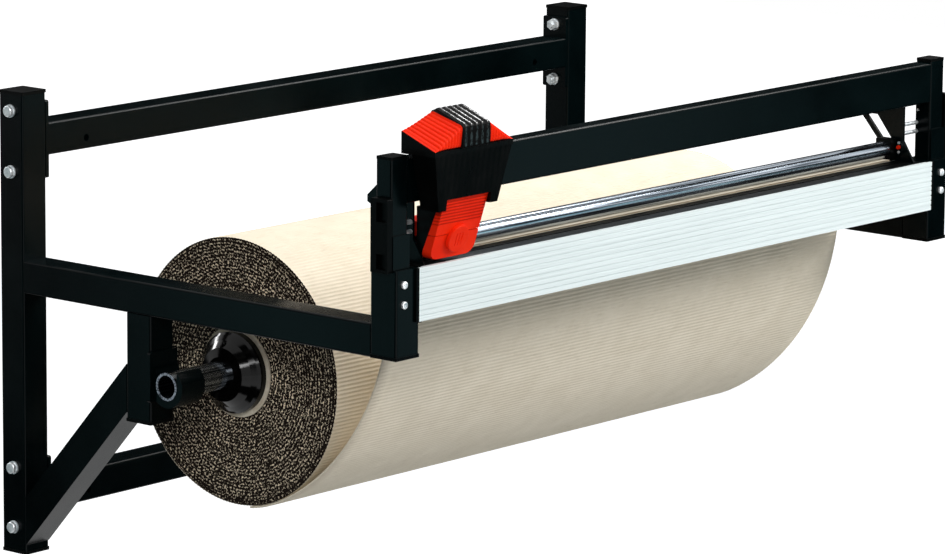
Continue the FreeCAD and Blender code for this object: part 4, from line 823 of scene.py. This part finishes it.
# %% The roll's side
FLUTES_AROUND = int(2 * np.pi * ROLL_R / FLUTE)
POINTS_PER_FLUTE, SIDE_COLUMNS = 6, 40
WAVE_FOOT, SIDE_WAVE = ROLL_R - 0.75, 0.7
WANDER_R = 160.0

angle = np.linspace(0, 2 * np.pi, FLUTES_AROUND * POINTS_PER_FLUTE, endpoint=False)
side_x = np.linspace(ROLL_LEFT, ROLL_RIGHT, SIDE_COLUMNS)
ring_angle, ring_x = np.meshgrid(angle, side_x, indexing="ij")
wander = 0.5 * unevenness(ring_x, WANDER_R * np.cos(ring_angle), 11)
radius = WAVE_FOOT + SIDE_WAVE * (0.5 + 0.5 * np.cos(ring_angle * FLUTES_AROUND + wander))
side = to_row(ring_x, AXLE_Y + radius * np.cos(ring_angle), AXLE_Z + radius * np.sin(ring_angle))
side_mesh = grid_mesh("roll_side", side, closed_u=True, flip=True)
add_piece("roll_side", side_mesh, "roll", "corrugated_paper", paper.material, "paper_roll")

# %% [markdown]
# The roll's end shows pale specks of cut paper and dark mouths between them, which are holes in
# shade. Modelling thousands of mouths would be heavy, and at this size they read as flecks. So a fine
# noise makes the flecks, with the mouths' shade painted near black between them, and two faint waves
# order them: one from layer to layer along a wobbly spiral, and one from mouth to mouth round the
# axle. At the rim the last layers show as clean rings, with painted shade in the gaps between them.

# %% Paper on the roll's ends
LAYER, MOUTH = 4.2, 6.0
BY_LAYER, BY_MOUTH, WOBBLE = 0.045, 0.03, 1.2
RIM_FROM, RIM_TO, RIM_LAYER, RIM_GAP = 10.0, 9.0, 4.4, 0.4

layers = Finish("roll_end_layers", (0.3, 0.22, 0.15), 0.9, Specular_IOR_Level=0.1)
sums = layers.maths
_, row_y, row_z = layers.parts()
dy = sums("ADD", row_y, AXLE_Y * MM)
dz = sums("SUBTRACT", row_z, (AXLE_Z - DATUM) * MM)
reach = sums("SQRT", sums("ADD", sums("MULTIPLY", dy, dy), sums("MULTIPLY", dz, dz)))
turn = sums("ARCTAN2", dz, dy)
wobble = noise(layers.tree, layers.place, 38.0, 2.0)
spiral = sums("ADD", sums("DIVIDE", reach, LAYER * MM), sums("DIVIDE", turn, 2 * math.pi))
spiral = sums("ADD", spiral, sums("MULTIPLY", wobble, WOBBLE))
by_layer = sums("SINE", sums("MULTIPLY", spiral, 2 * math.pi))
by_mouth = sums("SINE", sums("MULTIPLY", sums("MULTIPLY", turn, reach), 2 * math.pi / (MOUTH * MM)))
weave = sums("ADD", sums("MULTIPLY", by_layer, BY_LAYER), sums("MULTIPLY", by_mouth, BY_MOUTH))
fleck = sums("ADD", noise(layers.tree, layers.place, 350.0, 2.0, 0.75), weave)
lit = layers.spread(fleck, 0.0, 1.0, 0.56, 0.61)
# Near the rim, the gaps between the last layers are painted dark as shade.
rim = layers.spread(reach, 0.0, 1.0, (ROLL_R - RIM_FROM) * MM, (ROLL_R - RIM_TO) * MM)
gap = sums("LESS_THAN", sums("FRACT", sums("DIVIDE", reach, RIM_LAYER * MM)), RIM_GAP)
lit = sums("MULTIPLY", lit, sums("SUBTRACT", 1.0, sums("MULTIPLY", rim, gap)))
# The colour runs from near black, the painted shade in the mouths, to the cream of the cut paper.
layers.into("Base Color", layers.ramp(lit, (0.010, 0.006, 0.004), (0.98, 0.82, 0.60), at=(0.0, 1.0)))
layers.bump(lit, 0.0008, 0.6)
print("roll ends set")

# %% [markdown]
# The ends themselves are not flat: some layers of a wound roll slip out a little. Each end is a ring
# of points from the core to the rim, and every layer gets its own depth.

# %% End rings of the roll
ROWS_PER_LAYER, END_COLUMNS = 3, 240
CORE_GAP, RIM_INSET = 0.1, 0.6
LAYER_GROOVE, END_DEEPEST = 0.6, 2.0


def roll_end(name, x_face, outwards, seed):
    """A ring from the core to the rim: rows go out along the radius, and each layer stands out by
    its own seeded amount, with a groove between layers."""
    rows = int((ROLL_R - CORE_R) / LAYER) * ROWS_PER_LAYER + 1
    r = np.linspace(CORE_R + CORE_GAP, ROLL_R - RIM_INSET, rows)
    around = np.linspace(0, 2 * np.pi, END_COLUMNS, endpoint=False)
    layer = ((r - CORE_R) / LAYER).astype(int)
    proud = np.random.default_rng(seed).uniform(0.0, 1.0, layer.max() + 1)[layer]
    groove = LAYER_GROOVE * (np.arange(rows) % ROWS_PER_LAYER == 0)
    grid_r, grid_a = np.meshgrid(r, around, indexing="ij")
    depth = (1.0 - proud + groove)[:, None] * (1 + 0.3 * np.sin(3 * grid_a + layer[:, None]))
    points = to_row(x_face - outwards * np.clip(depth, 0, END_DEEPEST),
                    AXLE_Y + grid_r * np.cos(grid_a), AXLE_Z + grid_r * np.sin(grid_a))
    return grid_mesh(name, points, closed_v=True, flip=outwards > 0)


for end, x_face, outwards, seed in (("left", ROLL_LEFT, -1, 3), ("right", ROLL_RIGHT, 1, 4)):
    name = f"roll_end_{end}"
    add_piece(name, roll_end(name, x_face, outwards, seed), "roll", "corrugated_paper", layers.material)

# %% [markdown]
# The core is a tube of grey-brown board, blotchier than the paper round it.

# %% Core of the roll
board = Finish("core_board", (0.70, 0.62, 0.48), 0.8, Specular_IOR_Level=0.2)
grain = board.group(surface_grain, Scale=500.0, Drift_Scale=60.0)
board.into("Base Color", board.ramp(grain["Drift"], (0.52, 0.43, 0.31), (0.80, 0.73, 0.60)))
board.bump(grain["Height"], 0.0002, 0.5)
dress(board, "roll_core")

# %% [markdown]
# ## Ribbed grip pads and palm strip
#
# The head is pushed with the hand, so the red pads on its shoulders and the black strip between
# them are ribbed for grip. Each is a section, seen from the side, that is carried across the head.
# The ribs are a change of that section with the place across, so they bend over the front edge.

# %% Sections with rounded corners
HEAD_X, HEAD_HALF, STRIP_HALF = -441.5, 69.0, 24.0
HEAD_BACK, HEAD_FRONT = 625.5, 677.0
CAP_BACK_Z, CAP_FRONT_Z = 591.0, 571.0
CORNER_POINTS = 6


def sections(rows, *corners):
    """Corners of an outline, one outline a row (rows, corners, 2). Each corner is a pair of Y and Z,
    and each of these is a number or an array with a value for every row."""
    pairs = [np.stack([np.broadcast_to(value, rows) for value in corner], axis=1) for corner in corners]
    return np.stack(pairs, axis=1)


def rounded_section(corners, cut):
    """Closed outlines, one a row, from their corners (rows, corners, 2).

    Each corner gives way to a parabola that starts and ends at most a cut away along its two sides
    and never past 0.45 of them.
    """
    before, after = np.roll(corners, 1, axis=1), np.roll(corners, -1, axis=1)
    ends = []
    for side in (before, after):
        way = side - corners
        size = np.linalg.norm(way, axis=2, keepdims=True)
        ends.append(corners + way * np.minimum(cut / np.maximum(size, 1e-6), 0.45))
    first, middle, last = ends[0][:, :, None], corners[:, :, None], ends[1][:, :, None]
    t = np.linspace(0, 1, CORNER_POINTS)[:, None]
    curve = (1 - t) ** 2 * first + 2 * t * (1 - t) * middle + t ** 2 * last
    return curve.reshape(len(corners), -1, 2)


def section_mesh(name, x, outlines, flip, uv=None):
    """A capped body from outlines at places across the head."""
    points = to_row(x[:, None], outlines[..., 0], outlines[..., 1])
    return grid_mesh(name, points, closed_v=True, uv=uv, capped=True, flip=flip)


print("section helpers ready")

# %% [markdown]
# A pad grows from nothing at the head's outer edge to its full height beside the strip, so it is
# wedge-shaped. Nine ribs run up and over it, with narrow grooves between them.

# %% Grip pads
PAD_RIBS, PAD_ROWS_PER_RIB = 9, 12
PAD_GROOVE, PAD_ROUND = 1.2, 4.5


def grip_pad(name, side):
    """A pad whose section grows from nothing at the outer edge to full height at the strip.

    With s the share of the way in, the top runs from the head's back edge moved by (6 s, 19.5 s)
    down to its front edge moved by (3 s, 26 s). A groove, a high power of a sine of s, lowers top
    and front.
    """
    s = np.linspace(0.012, 1.0, PAD_RIBS * PAD_ROWS_PER_RIB + 1)
    groove = PAD_GROOVE * np.abs(np.sin(np.pi * PAD_RIBS * s)) ** 5 * np.clip(s * 6, 0, 1)
    outline = sections(
        len(s), (HEAD_BACK, CAP_BACK_Z), (HEAD_BACK + 6 * s, CAP_BACK_Z + 19.5 * s - groove),
        (HEAD_FRONT + 3 * s - groove, CAP_FRONT_Z + 26 * s - groove),
        (HEAD_FRONT - 0.8 * groove, CAP_FRONT_Z),
    )
    x = HEAD_X + side * (HEAD_HALF + s * (STRIP_HALF - HEAD_HALF))
    return section_mesh(name, x, rounded_section(outline, PAD_ROUND), side > 0)


for end, side in (("left", -1), ("right", 1)):
    name = f"grip_pad_ribbed_{end}"
    add_piece(name, grip_pad(name, side), "carriage", "red_plastic", red.material, f"grip_pad_{end}")

# %% [markdown]
# The strip's ridges are polished by hands, and the valleys between them stay dull. A clear coat
# only on the crests gives that. The mesh carries how high each point is on its ridge as its UV.

# %% Palm strip
RIDGES, ROWS_PER_RIDGE = 5, 16
CROWN_BACK, CROWN_BACK_Z = 639.5, 613.0
CROWN_FRONT, CROWN_FRONT_Z = 680.0, 597.4
STRIP_ROUND = 3.0

ridged = Finish("ridged_black", (0.0008, 0.0008, 0.0008), 0.5, Specular_IOR_Level=0.05, Coat_Roughness=0.16)
grain = ridged.group(surface_grain, Scale=330.0, Drift_Scale=60.0)
crest = ridged.parts(ridged.tree.nodes.new("ShaderNodeTexCoord").outputs["UV"])[0]
worn = ridged.spread(grain["Height"], 0.1, 1.0, 0.44, 0.50)
ridged.into("Coat Weight", ridged.maths("MULTIPLY", crest, worn))
ridged.bump(grain["Height"], 0.0003, 0.5)

across = np.linspace(-1, 1, RIDGES * ROWS_PER_RIDGE + 1)
ridge = np.clip(0.1 - 1.3 * np.cos(np.pi * RIDGES * (across + 1)), 0, 1)
strip_corners = sections(
    len(across), (HEAD_BACK, CAP_BACK_Z), (CROWN_BACK - 8.0, CROWN_BACK_Z - 2.7),
    (CROWN_BACK, CROWN_BACK_Z + 1.5 * ridge), (CROWN_FRONT + ridge, CROWN_FRONT_Z + 1.5 * ridge),
    (CROWN_FRONT + 0.6 + 1.2 * ridge, CROWN_FRONT_Z - 4.4), (CROWN_FRONT + 0.9, CROWN_FRONT_Z - 9.9),
    (CROWN_FRONT + 0.4, CAP_FRONT_Z), (HEAD_FRONT, CAP_FRONT_Z),
)
strip_outlines = rounded_section(strip_corners, STRIP_ROUND)
high = np.broadcast_to(ridge[:, None], strip_outlines.shape[:2])
strip_mesh = section_mesh("palm_strip_ridged", HEAD_X + STRIP_HALF * across, strip_outlines, False,
                          uv=np.stack((high, high), axis=-1))
add_piece("palm_strip_ridged", strip_mesh, "carriage", "black_plastic", ridged.material, "palm_strip")
